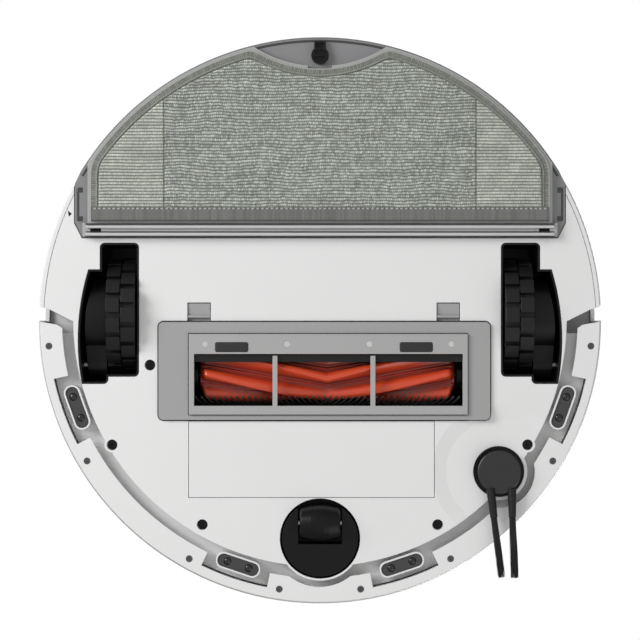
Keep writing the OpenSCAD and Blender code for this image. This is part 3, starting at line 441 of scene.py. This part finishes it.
def soft_block(x_span, y_span, z0, z1, rounding, turn_steps=64, layers=6):
    """A flat pad seen from below: rings follow a rounded rectangle and curve in to its face.

    The first ring lies at z1, the next ones go down a quarter circle of the given radius to
    z0, and the last ring is drawn in to the middle."""
    middle = np.array([sum(x_span) / 2, sum(y_span) / 2])
    core = np.array([x_span[1] - x_span[0], y_span[1] - y_span[0]]) / 2 - rounding
    turn = np.linspace(0, 2 * math.pi, turn_steps, endpoint=False) + 0.01
    corner = np.stack([np.cos(turn), np.sin(turn)], axis=1)
    dip = np.linspace(0, math.pi / 2, layers)
    reach = np.concatenate([[rounding], rounding * np.cos(dip), [0.0]])
    depth = np.concatenate([[z1], z1 + (z0 - z1) * (0.4 + 0.6 * np.sin(dip)), [z0]])
    shrink = np.concatenate([np.ones(layers + 1), [0.01]])
    flat = shrink[:, None, None] * (np.sign(corner) * core + reach[:, None, None] * corner) + middle
    height = np.repeat(depth[:, None], turn_steps, axis=1)
    points = np.dstack([flat, height]).reshape(-1, 3)
    return points, grid_faces(layers + 2, turn_steps, close_cols=True)


cover_low, cover_high = [np.array(c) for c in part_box("cover_plate")]


def gap_shade_loop(corner_r, reach, low, high, turn_steps=96):
    """A thin square-edged loop round the cover plate, reach wide on each side of its outline."""
    middle, half = (cover_low + cover_high) / 2, (cover_high - cover_low) / 2
    turn = np.linspace(0, 2 * math.pi, turn_steps, endpoint=False) + 0.01
    corner = np.stack([np.cos(turn), np.sin(turn)], axis=1)
    rings = []
    for grow, height in ((-reach, high), (reach, high), (reach, low), (-reach, low)):
        flat = middle[:2] + np.sign(corner) * (half[:2] - corner_r) + (corner_r + grow) * corner
        rings.append(np.column_stack([flat, np.full(turn_steps, height)]))
    points = np.stack(rings, axis=1).reshape(-1, 3)
    return points, grid_faces(turn_steps, 4, True, True)


# A black loop in the gap round the cover plate: painted shade.
cover_gap_shade = mesh_piece(
    "cover_gap_shade", *gap_shade_loop(3.0 * MM, 0.55 * MM, cover_high[2] + 0.3 * MM, cover_high[2] + 1.0 * MM),
    smooth=False,
)
cover_gap_shade.data.materials.append(tyre_rubber)
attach(cover_gap_shade, "chassis")
pad_face = guard_low[2] - PAD_DEPTH
guard_pads = mesh_piece("guard_pads", *joined([
    soft_block(span, PAD_Y, pad_face, guard_low[2] + 0.3 * MM, 1.2 * MM) for span in PAD_SPANS
]))
pad_rubber = moulded_plastic(
    "pad_rubber", (0.02, 0.02, 0.02), 0.6, grain_mm=0.5, grain=0.3, cloud=0.2,
)
guard_pads.data.materials.append(pad_rubber)
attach(guard_pads, "brush_cover")

# ---- Brush housing ribs ---------------------------------------------------------------------
# The black housing has slanting ribs on its wall round the brush, which keep dust moving. The
# ribs are coloured a lighter grey than the housing, a painted highlight for the light they catch.
RIB_COUNT = 46
RIB_W = 1.1 * MM
RIB_R = (FIN_R + 0.7 * MM, FIN_R + 1.9 * MM)
RIB_SPAN = (math.radians(46), math.radians(100))
RIB_SLANT = 8.0 * MM
RIB_STEPS = 9


def housing_rib(x, side):
    """A strip that climbs the round wall at radius r: its foot moves along X as it climbs."""
    climb = np.linspace(*RIB_SPAN, RIB_STEPS)
    drift = x + side * RIB_SLANT * np.linspace(0, 1, RIB_STEPS)
    corners = [(-0.5, 1), (-0.3, 0), (0.3, 0), (0.5, 1)]
    rows = []
    for across, depth in corners:
        r = RIB_R[depth]
        rows.append(np.column_stack([
            drift + across * RIB_W,
            BRUSH_AXIS[1] - r * np.sin(climb),
            BRUSH_AXIS[2] - r * np.cos(climb),
        ]))
    points = np.stack(rows, axis=1).reshape(-1, 3)
    faces = grid_faces(RIB_STEPS, 4, close_cols=True).tolist()
    last = (RIB_STEPS - 1) * 4
    return points, np.array(faces + [[3, 2, 1, 0], [last, last + 1, last + 2, last + 3]])


rib_places = np.linspace(fin_low[0] - 3 * MM, fin_high[0] + 3 * MM, RIB_COUNT)
housing_ribs = mesh_piece("housing_ribs", *joined([
    housing_rib(x, -1 if x > BRUSH_AXIS[0] else 1) for x in rib_places
]), smooth=False)
# Lighter than the housing they belong to: painted highlight.
rib_highlight_grey = moulded_plastic("rib_highlight_grey", (0.06, 0.06, 0.062), 0.35, grain=0.1, cloud=0.1)
housing_ribs.data.materials.append(rib_highlight_grey)
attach(housing_ribs, "chassis")

# ---- Side brush -----------------------------------------------------------------------------
# Two arms on one side of the disc: a ribbed rubber sleeve each, with a bundle of stiff black
# nylon bristles glued into it that spreads a little towards its tips.
HUB = np.array(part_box("side_brush_hub"))
hub_middle = HUB.mean(axis=0)
ARM_STARTS = (hub_middle[:2] + (5.4 * MM, -9.5 * MM), hub_middle[:2] + (-7.5 * MM, -9.5 * MM))
ARM_TURNS = np.radians([-6.8, -1.4])
ARM_Z = HUB[0][2] + 0.7 * MM
SLEEVE_LENGTH = 18.2 * MM
SLEEVE_RADIUS = 2.8 * MM
BRISTLES_PER_ARM = 150
BRISTLE_END = 54.2 * MM
BRISTLE_DROOP = math.tan(math.radians(8.7))
BRISTLE_R = 0.14 * MM


def along_arm(arm, reach, side, drop):
    """The place at reach along an arm, side to its left and drop below it."""
    turn = ARM_TURNS[arm]
    ahead = np.array([math.sin(turn), -math.cos(turn)])
    left = np.array([math.cos(turn), math.sin(turn)])
    x = ARM_STARTS[arm][0] + ahead[0] * reach + left[0] * side
    y = ARM_STARTS[arm][1] + ahead[1] * reach + left[1] * side
    return np.stack([x, y, ARM_Z - drop + np.zeros_like(x)], axis=-1)


def ribbed_sleeve(arm):
    """A tube along the arm: its radius swells in rings, r (0.9 + 0.1 |sin|^0.6), and tapers."""
    reach = np.linspace(0.2 * MM, SLEEVE_LENGTH, 90)[:, None]
    turn = np.linspace(0, 2 * math.pi, 24, endpoint=False)[None, :]
    ring = 0.90 + 0.10 * np.abs(np.sin(math.pi * reach / (1.5 * MM))) ** 0.6
    taper = 1.0 - 0.18 * reach / SLEEVE_LENGTH
    shut = np.ones_like(reach)
    shut[[0, -1]] = 0.02
    r = SLEEVE_RADIUS * ring * taper * shut
    points = along_arm(arm, reach + 0 * turn, r * np.cos(turn), r * np.sin(turn))
    return points.reshape(-1, 3), grid_faces(90, 24, close_cols=True)


def bristle_bundle(arm, draw):
    """Thin tapered strands: each starts in the sleeve, spreads, bows and slopes down to the floor."""
    n, steps, sides = BRISTLES_PER_ARM, 12, 5
    root_r = 1.9 * MM * np.sqrt(draw.random(n))
    root_a = 2 * math.pi * draw.random(n)
    spread = 1.0 + 0.35 * draw.random(n)
    bow = draw.normal(0, 0.35 * MM, (2, n))
    end = BRISTLE_END - draw.random(n) ** 2 * 5.0 * MM
    t = np.linspace(0, 1, steps)[None, :]
    side = root_r[:, None] * np.cos(root_a)[:, None] * (1 + (spread - 1)[:, None] * t ** 2)
    drop = root_r[:, None] * np.sin(root_a)[:, None] * (1 + (spread - 1)[:, None] * t ** 2)
    side = side + bow[0][:, None] * np.sin(math.pi * t) * t
    drop = drop + bow[1][:, None] * np.sin(math.pi * t) * t
    reach = SLEEVE_LENGTH - 2 * MM + (end - SLEEVE_LENGTH + 2 * MM)[:, None] * t
    drop = 0.55 * drop + BRISTLE_DROOP * np.maximum(reach - SLEEVE_LENGTH, 0.0)
    width = BRISTLE_R * (1.0 - 0.5 * t ** 2)
    turn = np.linspace(0, 2 * math.pi, sides, endpoint=False)
    side = side[..., None] + width[..., None] * np.cos(turn)
    drop = drop[..., None] + width[..., None] * np.sin(turn)
    points = along_arm(arm, reach[..., None] + 0 * side, side, drop)
    one = grid_faces(steps, sides, close_cols=True)
    faces = (one[None] + (np.arange(n) * steps * sides)[:, None, None]).reshape(-1, 4)
    return points.reshape(-1, 3), faces


def hub_face(rounds=96):
    """The disc's underside: r and depth follow two fine rings, then a bowl with a raised middle."""
    r = np.array([0.05, 1.5, 3.0, 4.2, 5.2, 6.2, 7.4, 8.6, 9.8, 10.6,
                  11.0, 11.3, 11.6, 12.0, 12.4, 12.8, 13.1])
    low = np.array([0.50, 0.50, 0.46, 0.38, 0.28, 0.20, 0.16, 0.20, 0.30, 0.36,
                    0.20, 0.34, 0.20, 0.36, 0.34, 0.2, 0.0])
    turn = np.linspace(0, 2 * math.pi, rounds, endpoint=False)[None, :]
    x = hub_middle[0] + r[:, None] * MM * np.cos(turn)
    y = hub_middle[1] + r[:, None] * MM * np.sin(turn)
    z = HUB[0][2] - low[:, None] * MM + 0 * turn
    return np.stack([x, y, z], axis=-1).reshape(-1, 3), grid_faces(len(r), rounds, close_cols=True)


disc_face = mesh_piece("hub_face", *hub_face())
hub_satin = moulded_plastic("hub_satin", (0.016, 0.016, 0.016), 0.36, grain=0.03, shine=0.6)
disc_face.data.materials.append(hub_satin)
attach(disc_face, "side_brush")
sleeves = mesh_piece("ribbed_sleeves", *joined([ribbed_sleeve(arm) for arm in (0, 1)]))
sleeves.data.materials.append(tyre_rubber)
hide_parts("side_brush_sleeves")
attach(sleeves, "side_brush")
bristle_draw = np.random.default_rng(7)
bristles = mesh_piece("bristle_bundles", *joined([
    bristle_bundle(arm, bristle_draw) for arm in (0, 1)
]))
nylon = moulded_plastic(
    "nylon", (0.01, 0.01, 0.011), 0.3, grain_mm=0.3, grain=0.05, cloud=0.2, edge_mm=0.05,
)
bristles.data.materials.append(nylon)
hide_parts("side_brush_bristles")
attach(bristles, "side_brush")


# ---- Water tank and mop plate ---------------------------------------------------------------
# Smoky clear polycarbonate: tank, lid, dust bin and the ribbed bar that carries the cloth.
# Its edges and grooves are laid on as thin dark strips, painted shade as they look through it,
# and pale strips along the bar are painted highlights.
def smoky_clear(name, colour, clear, rough):
    """Tinted plastic that lets some light through, with faint flow marks in its gloss."""
    material = moulded_plastic(name, colour, rough, grain_mm=0.8, grain=0.03, cloud=0.06)
    shader = material.node_tree.nodes["Principled BSDF"]
    shader.inputs["Transmission Weight"].default_value = clear
    shader.inputs["IOR"].default_value = 1.5
    return material


smoke = smoky_clear("smoke", (0.34, 0.34, 0.35), 0.30, 0.12)
smoke_bar = smoky_clear("smoke_bar", (0.50, 0.50, 0.51), 0.15, 0.14)
finish_nodes(smoke, "tank_shell", "tank_lid", "dust_bin")
finish_nodes(smoke_bar, "mop_plate")
tank_low, tank_high = [np.array(c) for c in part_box("tank_shell")]
TANK_ARC_R, TANK_ARC_Y = 169.2 * MM, 1.5 * MM


def bar_strip(x0, x1, y0, y1, z, thick):
    """A straight flat bar with a chamfer half its thickness on its lower long edges."""
    c = thick / 2
    section = [(y0, z + thick), (y0, z + c), (y0 + c, z), (y1 - c, z), (y1, z + c), (y1, z + thick)]
    points = np.array([(x, y, h) for x in (x0, x1) for y, h in section])
    faces = [(i, (i + 1) % 6, 6 + (i + 1) % 6, 6 + i) for i in range(6)]
    return points, faces + [(5, 4, 3, 2, 1, 0), (6, 7, 8, 9, 10, 11)]


def round_strip(inset, wide, z, thick, steps=240):
    """A flat strip along the tank's rear arc from side to side, wide across and thick deep."""
    half = math.asin((tank_high[0] - 4.0 * MM) / (TANK_ARC_R - inset))
    turn = np.linspace(-half, half, steps)[:, None]
    section = np.array([(0.0, thick), (0.0, 0.2 * thick), (0.3 * wide, 0.0), (0.7 * wide, 0.0),
                        (wide, 0.2 * thick), (wide, thick)])
    r = TANK_ARC_R - inset - section[None, :, 0]
    x, y = r * np.sin(turn), TANK_ARC_Y + r * np.cos(turn)
    points = np.dstack([x, y, z + section[None, :, 1] + 0 * x]).reshape(-1, 3)
    faces = grid_faces(steps, 6, close_cols=True).tolist()
    last = (steps - 1) * 6
    return points, faces + [[5, 4, 3, 2, 1, 0], [last + i for i in range(6)]]


def solid_piece(name, parts, material):
    """One object from parts whose faces may have any number of corners."""
    verts, faces, start = [], [], 0
    for part_verts, part_faces in parts:
        verts.append(np.asarray(part_verts))
        faces += [[int(i) + start for i in face] for face in part_faces]
        start += len(part_verts)
    mesh = bpy.data.meshes.new(name)
    mesh.from_pydata(np.concatenate(verts).tolist(), [], faces)
    mesh.update()
    piece = bpy.data.objects.new(name, mesh)
    bpy.context.scene.collection.objects.link(piece)
    piece.data.materials.append(material)
    return piece


plate_low = np.array(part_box("mop_plate")[0])
side_x = tank_high[0] - 1.2 * MM
SIDE_LINE_Y = (60.5 * MM, 80.0 * MM)
CATCH_PLACES_Y = (60.0 * MM, 77.5 * MM)
CATCH_W = 3.0 * MM
SHADE_LINES_MM = ((57.6, 1.0), (53.2, 0.5), (50.4, 0.4))
HIGHLIGHT_BANDS_MM = ((55.6, 1.7), (51.0, 1.9))
# Dark strips: painted shade on edges and grooves. Pale strips: painted highlights on the bar.
edge_shade_smoke = moulded_plastic("edge_shade_smoke", (0.055, 0.055, 0.057), 0.2, grain=0.04, cloud=0.15)
highlight_smoke = moulded_plastic("highlight_smoke", (0.56, 0.56, 0.57), 0.22, grain=0.04, cloud=0.08)
rim_low = tank_low[2] - 0.25 * MM
rim_parts = [round_strip(0.4 * MM, 1.4 * MM, rim_low, 0.5 * MM)]
for side in (-1, 1):
    x0, x1 = sorted((side * side_x, side * (side_x - 1.3 * MM)))
    rim_parts.append(bar_strip(x0, x1, *SIDE_LINE_Y, rim_low, 0.5 * MM))
    for y in CATCH_PLACES_Y:
        x0, x1 = sorted((side * (side_x - 0.4 * MM), side * (side_x - 3.4 * MM)))
        rim_parts.append(bar_strip(x0, x1, y, y + CATCH_W, rim_low - 0.1 * MM, 0.5 * MM))
tank_edge_shade = solid_piece("tank_edge_shade", rim_parts, edge_shade_smoke)
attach(tank_edge_shade, "tank")
bar_low = plate_low[2] - 0.7 * MM
bar_end = tank_high[0] - 7.0 * MM
bar_shade_lines = solid_piece("bar_shade_lines", [
    bar_strip(-bar_end, bar_end, y * MM, (y + w) * MM, bar_low, 0.6 * MM)
    for y, w in SHADE_LINES_MM
], edge_shade_smoke)
bar_highlights = solid_piece("bar_highlights", [
    bar_strip(-bar_end, bar_end, y * MM, (y + w) * MM, bar_low + 0.05 * MM, 0.6 * MM)
    for y, w in HIGHLIGHT_BANDS_MM
], highlight_smoke)
for piece in (bar_shade_lines, bar_highlights):
    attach(piece, "tank")



# ---- Dust filter ----------------------------------------------------------------------------
# Off-white filter paper behind the dust bin, with a coarse fibrous surface.
filter_paper = moulded_plastic(
    "pleated_paper", (0.75, 0.74, 0.68), 0.8, grain_mm=0.4, grain=0.4, cloud=0.08,
)
finish_nodes(filter_paper, "dust_filter")

# ---- Mop cloth ------------------------------------------------------------------------------
# Looped microfibre knitted in rows: a dense, tousled grey-green middle between two paler,
# evenly combed sides. It is hemmed round its free edges, and a woven band holds its front.
cloth_high = np.array(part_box("mop_cloth")[1])
band_low, band_high = [np.array(c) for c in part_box("cloth_strip")]
ARC_R, ARC_Y = 167.6 * MM, 1.5 * MM
NOTCH_R, NOTCH_Y = 76.0 * MM, 228.3 * MM
CORNER_R = 22.0 * MM
HALF_W = cloth_high[0] - 0.2 * MM
SEAM_X = 94.5 * MM
HEM_W = 5.2 * MM
HEM_SHADE_AND_DYE = (0.13, 0.14, 0.125)
PILE = 1.1 * MM


def rear_edge(x, inset=0.0):
    """How far back the cloth reaches at x: the round edge or the notch, whichever is less.

    The two meet in a soft peak, a smooth minimum 4 mm wide, and the outer corners follow a
    circle that touches both the side and the round edge."""
    x = np.abs(x)
    arc_r, half_w, corner_r = ARC_R - inset, HALF_W - inset, CORNER_R - inset
    arc = ARC_Y + np.sqrt(arc_r ** 2 - x ** 2)
    corner_y = ARC_Y + math.sqrt((arc_r - corner_r) ** 2 - (half_w - corner_r) ** 2)
    turn_x = (half_w - corner_r) * arc_r / (arc_r - corner_r)
    round_off = np.maximum(corner_r ** 2 - (x - half_w + corner_r) ** 2, 0.0)
    arc = np.where(x > turn_x, corner_y + np.sqrt(round_off), arc)
    notch = NOTCH_Y - np.sqrt(np.maximum((NOTCH_R + inset) ** 2 - x ** 2, 0.0))
    notch = np.where(x < NOTCH_R, notch, 1.0)
    blend = np.clip(0.5 + (notch - arc) / (8.0 * MM), 0.0, 1.0)
    return notch + (arc - notch) * blend - 4.0 * MM * blend * (1.0 - blend)


def slow_waves(x, y, seed, size, count=9):
    """A smooth random field from -1 to 1: a sum of sine waves in random directions."""
    draw = np.random.default_rng(seed)
    total = np.zeros(np.broadcast(x, y).shape)
    for turn, phase, stretch in draw.random((count, 3)):
        k = 2 * math.pi / (size * (0.6 + stretch))
        total += np.sin(k * (x * math.cos(6.28 * turn) + y * math.sin(6.28 * turn)) + 6.28 * phase)
    return total / math.sqrt(count * 2)


def scatter(i, j, seed):
    """A number from 0 to 1 for each pair of whole numbers, with no pattern between them."""
    mixed = np.sin(i * 12.9898 + j * 78.233 + seed * 37.719) * 43758.5453
    return mixed - np.floor(mixed)


def knit(x, y, row_pitch, loop_pitch, stray):
    """Pile height and tone, both from 0 to 1: rows across Y, each row a chain of loops.

    A loop is half an ellipse across its row times half an ellipse along it, as tall as its
    own random number says, and slants to the left or right from row to row. Rows wander and
    slip in proportion to stray."""
    wander = stray * (0.8 * MM * slow_waves(x, y, 3, 34 * MM) + 0.3 * MM * slow_waves(x, y, 4, 7 * MM))
    row = (y + wander) / row_pitch
    number = np.floor(row)
    across = row - number - 0.5
    slip = scatter(number, 0 * number, 1) + stray * 0.5 * slow_waves(x, y, 5, 9 * MM)
    loop = (x + 0.35 * across * row_pitch * (2 * (number % 2) - 1)) / loop_pitch + slip
    place = np.floor(loop)
    along = loop - place - 0.5
    tall = 1.0 - (0.15 + 0.30 * stray) * scatter(number, place, 2)
    ridge = np.sqrt(np.maximum(1.0 - (across / 0.5) ** 2, 0.0))
    bead = 0.3 + 0.7 * np.sqrt(np.maximum(1.0 - (along / 0.5) ** 2, 0.0))
    tone = 0.6 * scatter(number, np.floor(x / (19 * MM)), 3) + 0.4 * scatter(number, place, 4)
    return ridge * bead * tall, tone


# The colour falls from crest to valley down into the pile: painted shade between the loops.
def dye_and_shade(piece, height, tone, valley, crest):
    """Colours each point: valley low in the pile, crest on its loops, lighter with its tone."""
    height = np.clip(height, 0.0, 1.0).ravel()[:, None]
    shade = np.array(valley) + (np.array(crest) - np.array(valley)) * height ** 1.5
    shade = shade * (0.72 + 0.56 * tone.ravel()[:, None])
    colours = np.column_stack([shade, np.ones(len(shade))])
    attribute = piece.data.attributes.new("dye_and_shade", "FLOAT_COLOR", "POINT")
    attribute.data.foreach_set("color", colours.astype(np.float32).ravel())


def cloth_panel(name, x0, x1, cell, knit_size, valley, crest):
    """A panel from x0 to x1: y runs from the band to the hem, and z falls by the pile."""
    front = band_high[1] - 0.3 * MM
    x = np.linspace(x0, x1, int(round((x1 - x0) / cell)) + 1)[None, :]
    depth = rear_edge(x, HEM_W) - front
    rows = int(round(depth.max() / cell)) + 1
    y = front + np.linspace(0, 1, rows)[:, None] * depth
    x = x + 0 * y
    height, tone = knit(x, y, *knit_size)
    rim = np.minimum.reduce([y - front, rear_edge(x, HEM_W) - y, HALF_W - HEM_W - np.abs(x)])
    press = np.clip(0.35 + rim / (2.0 * MM), 0, 1)
    seam = np.exp(-((np.abs(x) - SEAM_X) / (0.5 * MM)) ** 2)
    belly = 0.35 * MM * slow_waves(x, y, 8, 60 * MM)
    z = cloth_high[2] - 1.9 * MM - (PILE * height * (1 - 0.7 * seam) + belly) * press
    points = np.stack([x, y, z], axis=-1).reshape(-1, 3)
    piece = mesh_piece(name, points, grid_faces(rows, x.shape[1])[:, ::-1])
    mottle = 0.5 + 0.35 * slow_waves(x, y, 11, 11 * MM)
    # The seam is also coloured darker, painted shade in its groove.
    dye_and_shade(piece, height * (1 - 0.5 * seam), 0.65 * tone + 0.35 * mottle, valley, crest)
    return piece


def microfibre(name, sheen):
    """Yarn in the colour painted on it, broken up by fine fibres that also lift its surface."""
    material = bpy.data.materials.new(name)
    material.use_nodes = True
    tree = material.node_tree
    links = tree.links
    shader = tree.nodes["Principled BSDF"]
    shader.inputs["Roughness"].default_value = 0.85
    shader.inputs["Sheen Weight"].default_value = sheen
    shader.inputs["Sheen Roughness"].default_value = 0.5
    place = tree.nodes.new("ShaderNodeTexCoord")
    yarn = tree.nodes.new("ShaderNodeAttribute")
    yarn.attribute_name = "dye_and_shade"
    fibre = tree.nodes.new("ShaderNodeTexNoise")
    fibre.inputs["Scale"].default_value = 2600.0
    fibre.inputs["Detail"].default_value = 3.0
    fleck = tree.nodes.new("ShaderNodeMapRange")
    fleck.inputs["From Min"].default_value = 0.3
    fleck.inputs["From Max"].default_value = 0.7
    fleck.inputs["To Min"].default_value = 0.75
    fleck.inputs["To Max"].default_value = 1.2
    blend = tree.nodes.new("ShaderNodeMix")
    blend.data_type = "RGBA"
    blend.blend_type = "MULTIPLY"
    blend.inputs["Factor"].default_value = 1.0
    bump = tree.nodes.new("ShaderNodeBump")
    bump.inputs["Strength"].default_value = 0.5
    bump.inputs["Distance"].default_value = 0.2 * MM
    links.new(place.outputs["Object"], fibre.inputs["Vector"])
    links.new(fibre.outputs["Fac"], fleck.inputs["Value"])
    links.new(yarn.outputs["Color"], blend.inputs["A"])
    links.new(fleck.outputs["Result"], blend.inputs["B"])
    links.new(blend.outputs["Result"], shader.inputs["Base Color"])
    links.new(fibre.outputs["Fac"], bump.inputs["Height"])
    links.new(bump.outputs["Normal"], shader.inputs["Normal"])
    return material


MIDDLE_KNIT = (1.9 * MM, 1.15 * MM, 0.75)
SIDE_KNIT = (1.9 * MM, 1.0 * MM, 0.12)
# Valley then crest colours: the dark valley colour is painted shade.
MIDDLE_SHADE_AND_DYE = ((0.035, 0.04, 0.036), (0.74, 0.78, 0.71))
SIDE_SHADE_AND_DYE = ((0.055, 0.058, 0.05), (0.80, 0.83, 0.74))
THIRD = SEAM_X / 3
panels = [
    cloth_panel("mop_middle_panel", -THIRD, THIRD, 0.27 * MM, MIDDLE_KNIT, *MIDDLE_SHADE_AND_DYE),
    cloth_panel("mop_middle_left", THIRD, SEAM_X, 0.27 * MM, MIDDLE_KNIT, *MIDDLE_SHADE_AND_DYE),
    cloth_panel("mop_middle_right", -SEAM_X, -THIRD, 0.27 * MM, MIDDLE_KNIT, *MIDDLE_SHADE_AND_DYE),
    cloth_panel("mop_left_panel", SEAM_X, HALF_W - HEM_W, 0.24 * MM, SIDE_KNIT, *SIDE_SHADE_AND_DYE),
    cloth_panel("mop_right_panel", HEM_W - HALF_W, -SEAM_X, 0.24 * MM, SIDE_KNIT, *SIDE_SHADE_AND_DYE),
]
loop_yarn = microfibre("loop_yarn", 0.3)
for panel in panels:
    panel.data.materials.append(loop_yarn)


def free_edge(steps):
    """The cloth's side and rear outline from front left to front right, in even steps."""
    x = HALF_W * np.sin(np.linspace(math.pi / 2, -math.pi / 2, 4 * steps))
    path = np.column_stack([x, rear_edge(x)])
    front = band_low[1] + 0.3 * MM
    path = np.vstack([[HALF_W, front], path, [-HALF_W, front]])
    run = np.concatenate([[0], np.cumsum(np.linalg.norm(np.diff(path, axis=0), axis=1))])
    even = np.linspace(0, run[-1], steps)
    return np.column_stack([np.interp(even, run, path[:, i]) for i in (0, 1)]), even


def hem_tape(steps=1500):
    """A bound edge carried round the outline: a cream lip, a stitched ditch, a fuzzy ridge.

    Across its width the height is a low step for the lip, a dip with a ripple of radial
    stitches 1.1 mm apart for the ditch, and half a sine wave for the ridge."""
    path, run = free_edge(steps)
    ahead = np.gradient(path, axis=0)
    ahead /= np.linalg.norm(ahead, axis=1, keepdims=True)
    inward = np.column_stack([-ahead[:, 1], ahead[:, 0]])
    across = np.concatenate([[0.0], np.linspace(0.05, 1.15, 22), [1.15]]) * HEM_W
    u = np.clip((across / HEM_W)[None, :], 0, 1)
    stitch = 0.5 + 0.5 * np.cos(2 * math.pi * run / (1.1 * MM))[:, None]
    fuzz = scatter(np.floor(run / (0.5 * MM))[:, None], np.round(u * 22), 7)
    lip = np.exp(-((u - 0.07) / 0.07) ** 2)
    ridge = np.clip(np.sin(math.pi * (u - 0.58) / 0.42), 0, 1) * (u > 0.58)
    ditch = (u > 0.15) * (u < 0.6) * stitch
    tuft = scatter(np.floor(run / (0.9 * MM))[:, None], 0 * u, 6)
    drop = 0.5 * lip + 0.3 * ditch + ridge * (0.6 + 0.5 * fuzz)
    z = cloth_high[2] - 1.3 * MM - 0.9 * MM * drop
    z[:, 0] = z[:, -1] = cloth_high[2] - 0.3 * MM
    flat = path[:, None, :] + inward[:, None, :] * across[None, :, None]
    points = np.dstack([flat, z]).reshape(-1, 3)
    piece = mesh_piece("mop_hem", points, grid_faces(*z.shape, close_cols=True)[:, ::-1])
    height = 0.8 * lip + (0.3 + 0.35 * tuft) * ditch + 0.62 * ridge * (0.35 + 0.65 * fuzz)
    # Darker in the stitched ditch than on the lip and ridge: painted shade.
    dye_and_shade(piece, height, 0.5 + 0 * z, HEM_SHADE_AND_DYE, (0.62, 0.63, 0.57))
    return piece


hem = hem_tape()
hem.data.materials.append(loop_yarn)


def woven_band(cell=0.4 * MM):
    """A flat band, faintly ribbed across, with a dashed white seam along its rear edge."""
    x = np.arange(0.6 * MM - HALF_W, HALF_W - 0.6 * MM, cell)[None, :]
    y = np.linspace(band_low[1] + 0.3 * MM, band_high[1] + 0.1 * MM, 30)[:, None]
    place = (y - band_low[1]) / (band_high[1] - band_low[1])
    rib = scatter(np.floor(x / (1.2 * MM)), 0 * x, 9) + 0 * y
    seam = np.exp(-((place - 0.90) / 0.05) ** 2)
    dash = np.clip(2.2 * np.cos(2 * math.pi * x / (2.9 * MM)) + 0.9, 0, 1)
    front_edge = np.exp(-((place - 0.05) / 0.06) ** 2)
    z = band_low[2] + 0.5 * MM - 0.06 * MM * rib - 0.3 * MM * seam * dash
    z = z + 1.1 * MM * np.clip(np.abs(place - 0.5) * 2, 0, 1) ** 10
    x, y = np.broadcast_arrays(x, y)
    points = np.stack([x, y, z + 0 * x], axis=-1).reshape(-1, 3)
    piece = mesh_piece("mop_band", points, grid_faces(*x.shape)[:, ::-1])
    # Darker at the front edge and between the seam's white dashes: painted shade.
    height = 0.36 + 0.10 * rib + 0.6 * seam * dash - 0.15 * seam * (1 - dash) - 0.2 * front_edge
    dye_and_shade(piece, height, 0.5 + 0 * z, (0.04, 0.042, 0.04), (0.50, 0.50, 0.48))
    return piece


band = woven_band()
band.data.materials.append(microfibre("band_yarn", 0.1))


def backing_sheet():
    """The cloth's flat backing under the pile: a thin closed slab that follows the outline."""
    path = free_edge(260)[0]
    inner = path * 0.985 + path.mean(axis=0) * 0.015
    levels = (cloth_high[2] - 0.2 * MM, cloth_high[2] - 1.2 * MM)
    n = len(inner)
    points = np.concatenate([np.column_stack([inner, np.full(n, z)]) for z in levels])
    around = np.arange(n)
    walls = np.stack([around, n + around, n + (around + 1) % n, (around + 1) % n], axis=1)
    faces = walls.tolist() + [around.tolist(), (n + around)[::-1].tolist()]
    mesh = bpy.data.meshes.new("mop_backing")
    mesh.from_pydata(points.tolist(), [], faces)
    piece = bpy.data.objects.new("mop_backing", mesh)
    bpy.context.scene.collection.objects.link(piece)
    dye_and_shade(piece, np.full(2 * n, 0.3), np.full(2 * n, 0.5), HEM_SHADE_AND_DYE, (0.5, 0.5, 0.46))
    return piece


backing = backing_sheet()
backing.data.materials.append(loop_yarn)
for piece in (*panels, hem, band, backing):
    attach(piece, "tank")
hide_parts("mop_cloth")
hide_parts("cloth_strip")
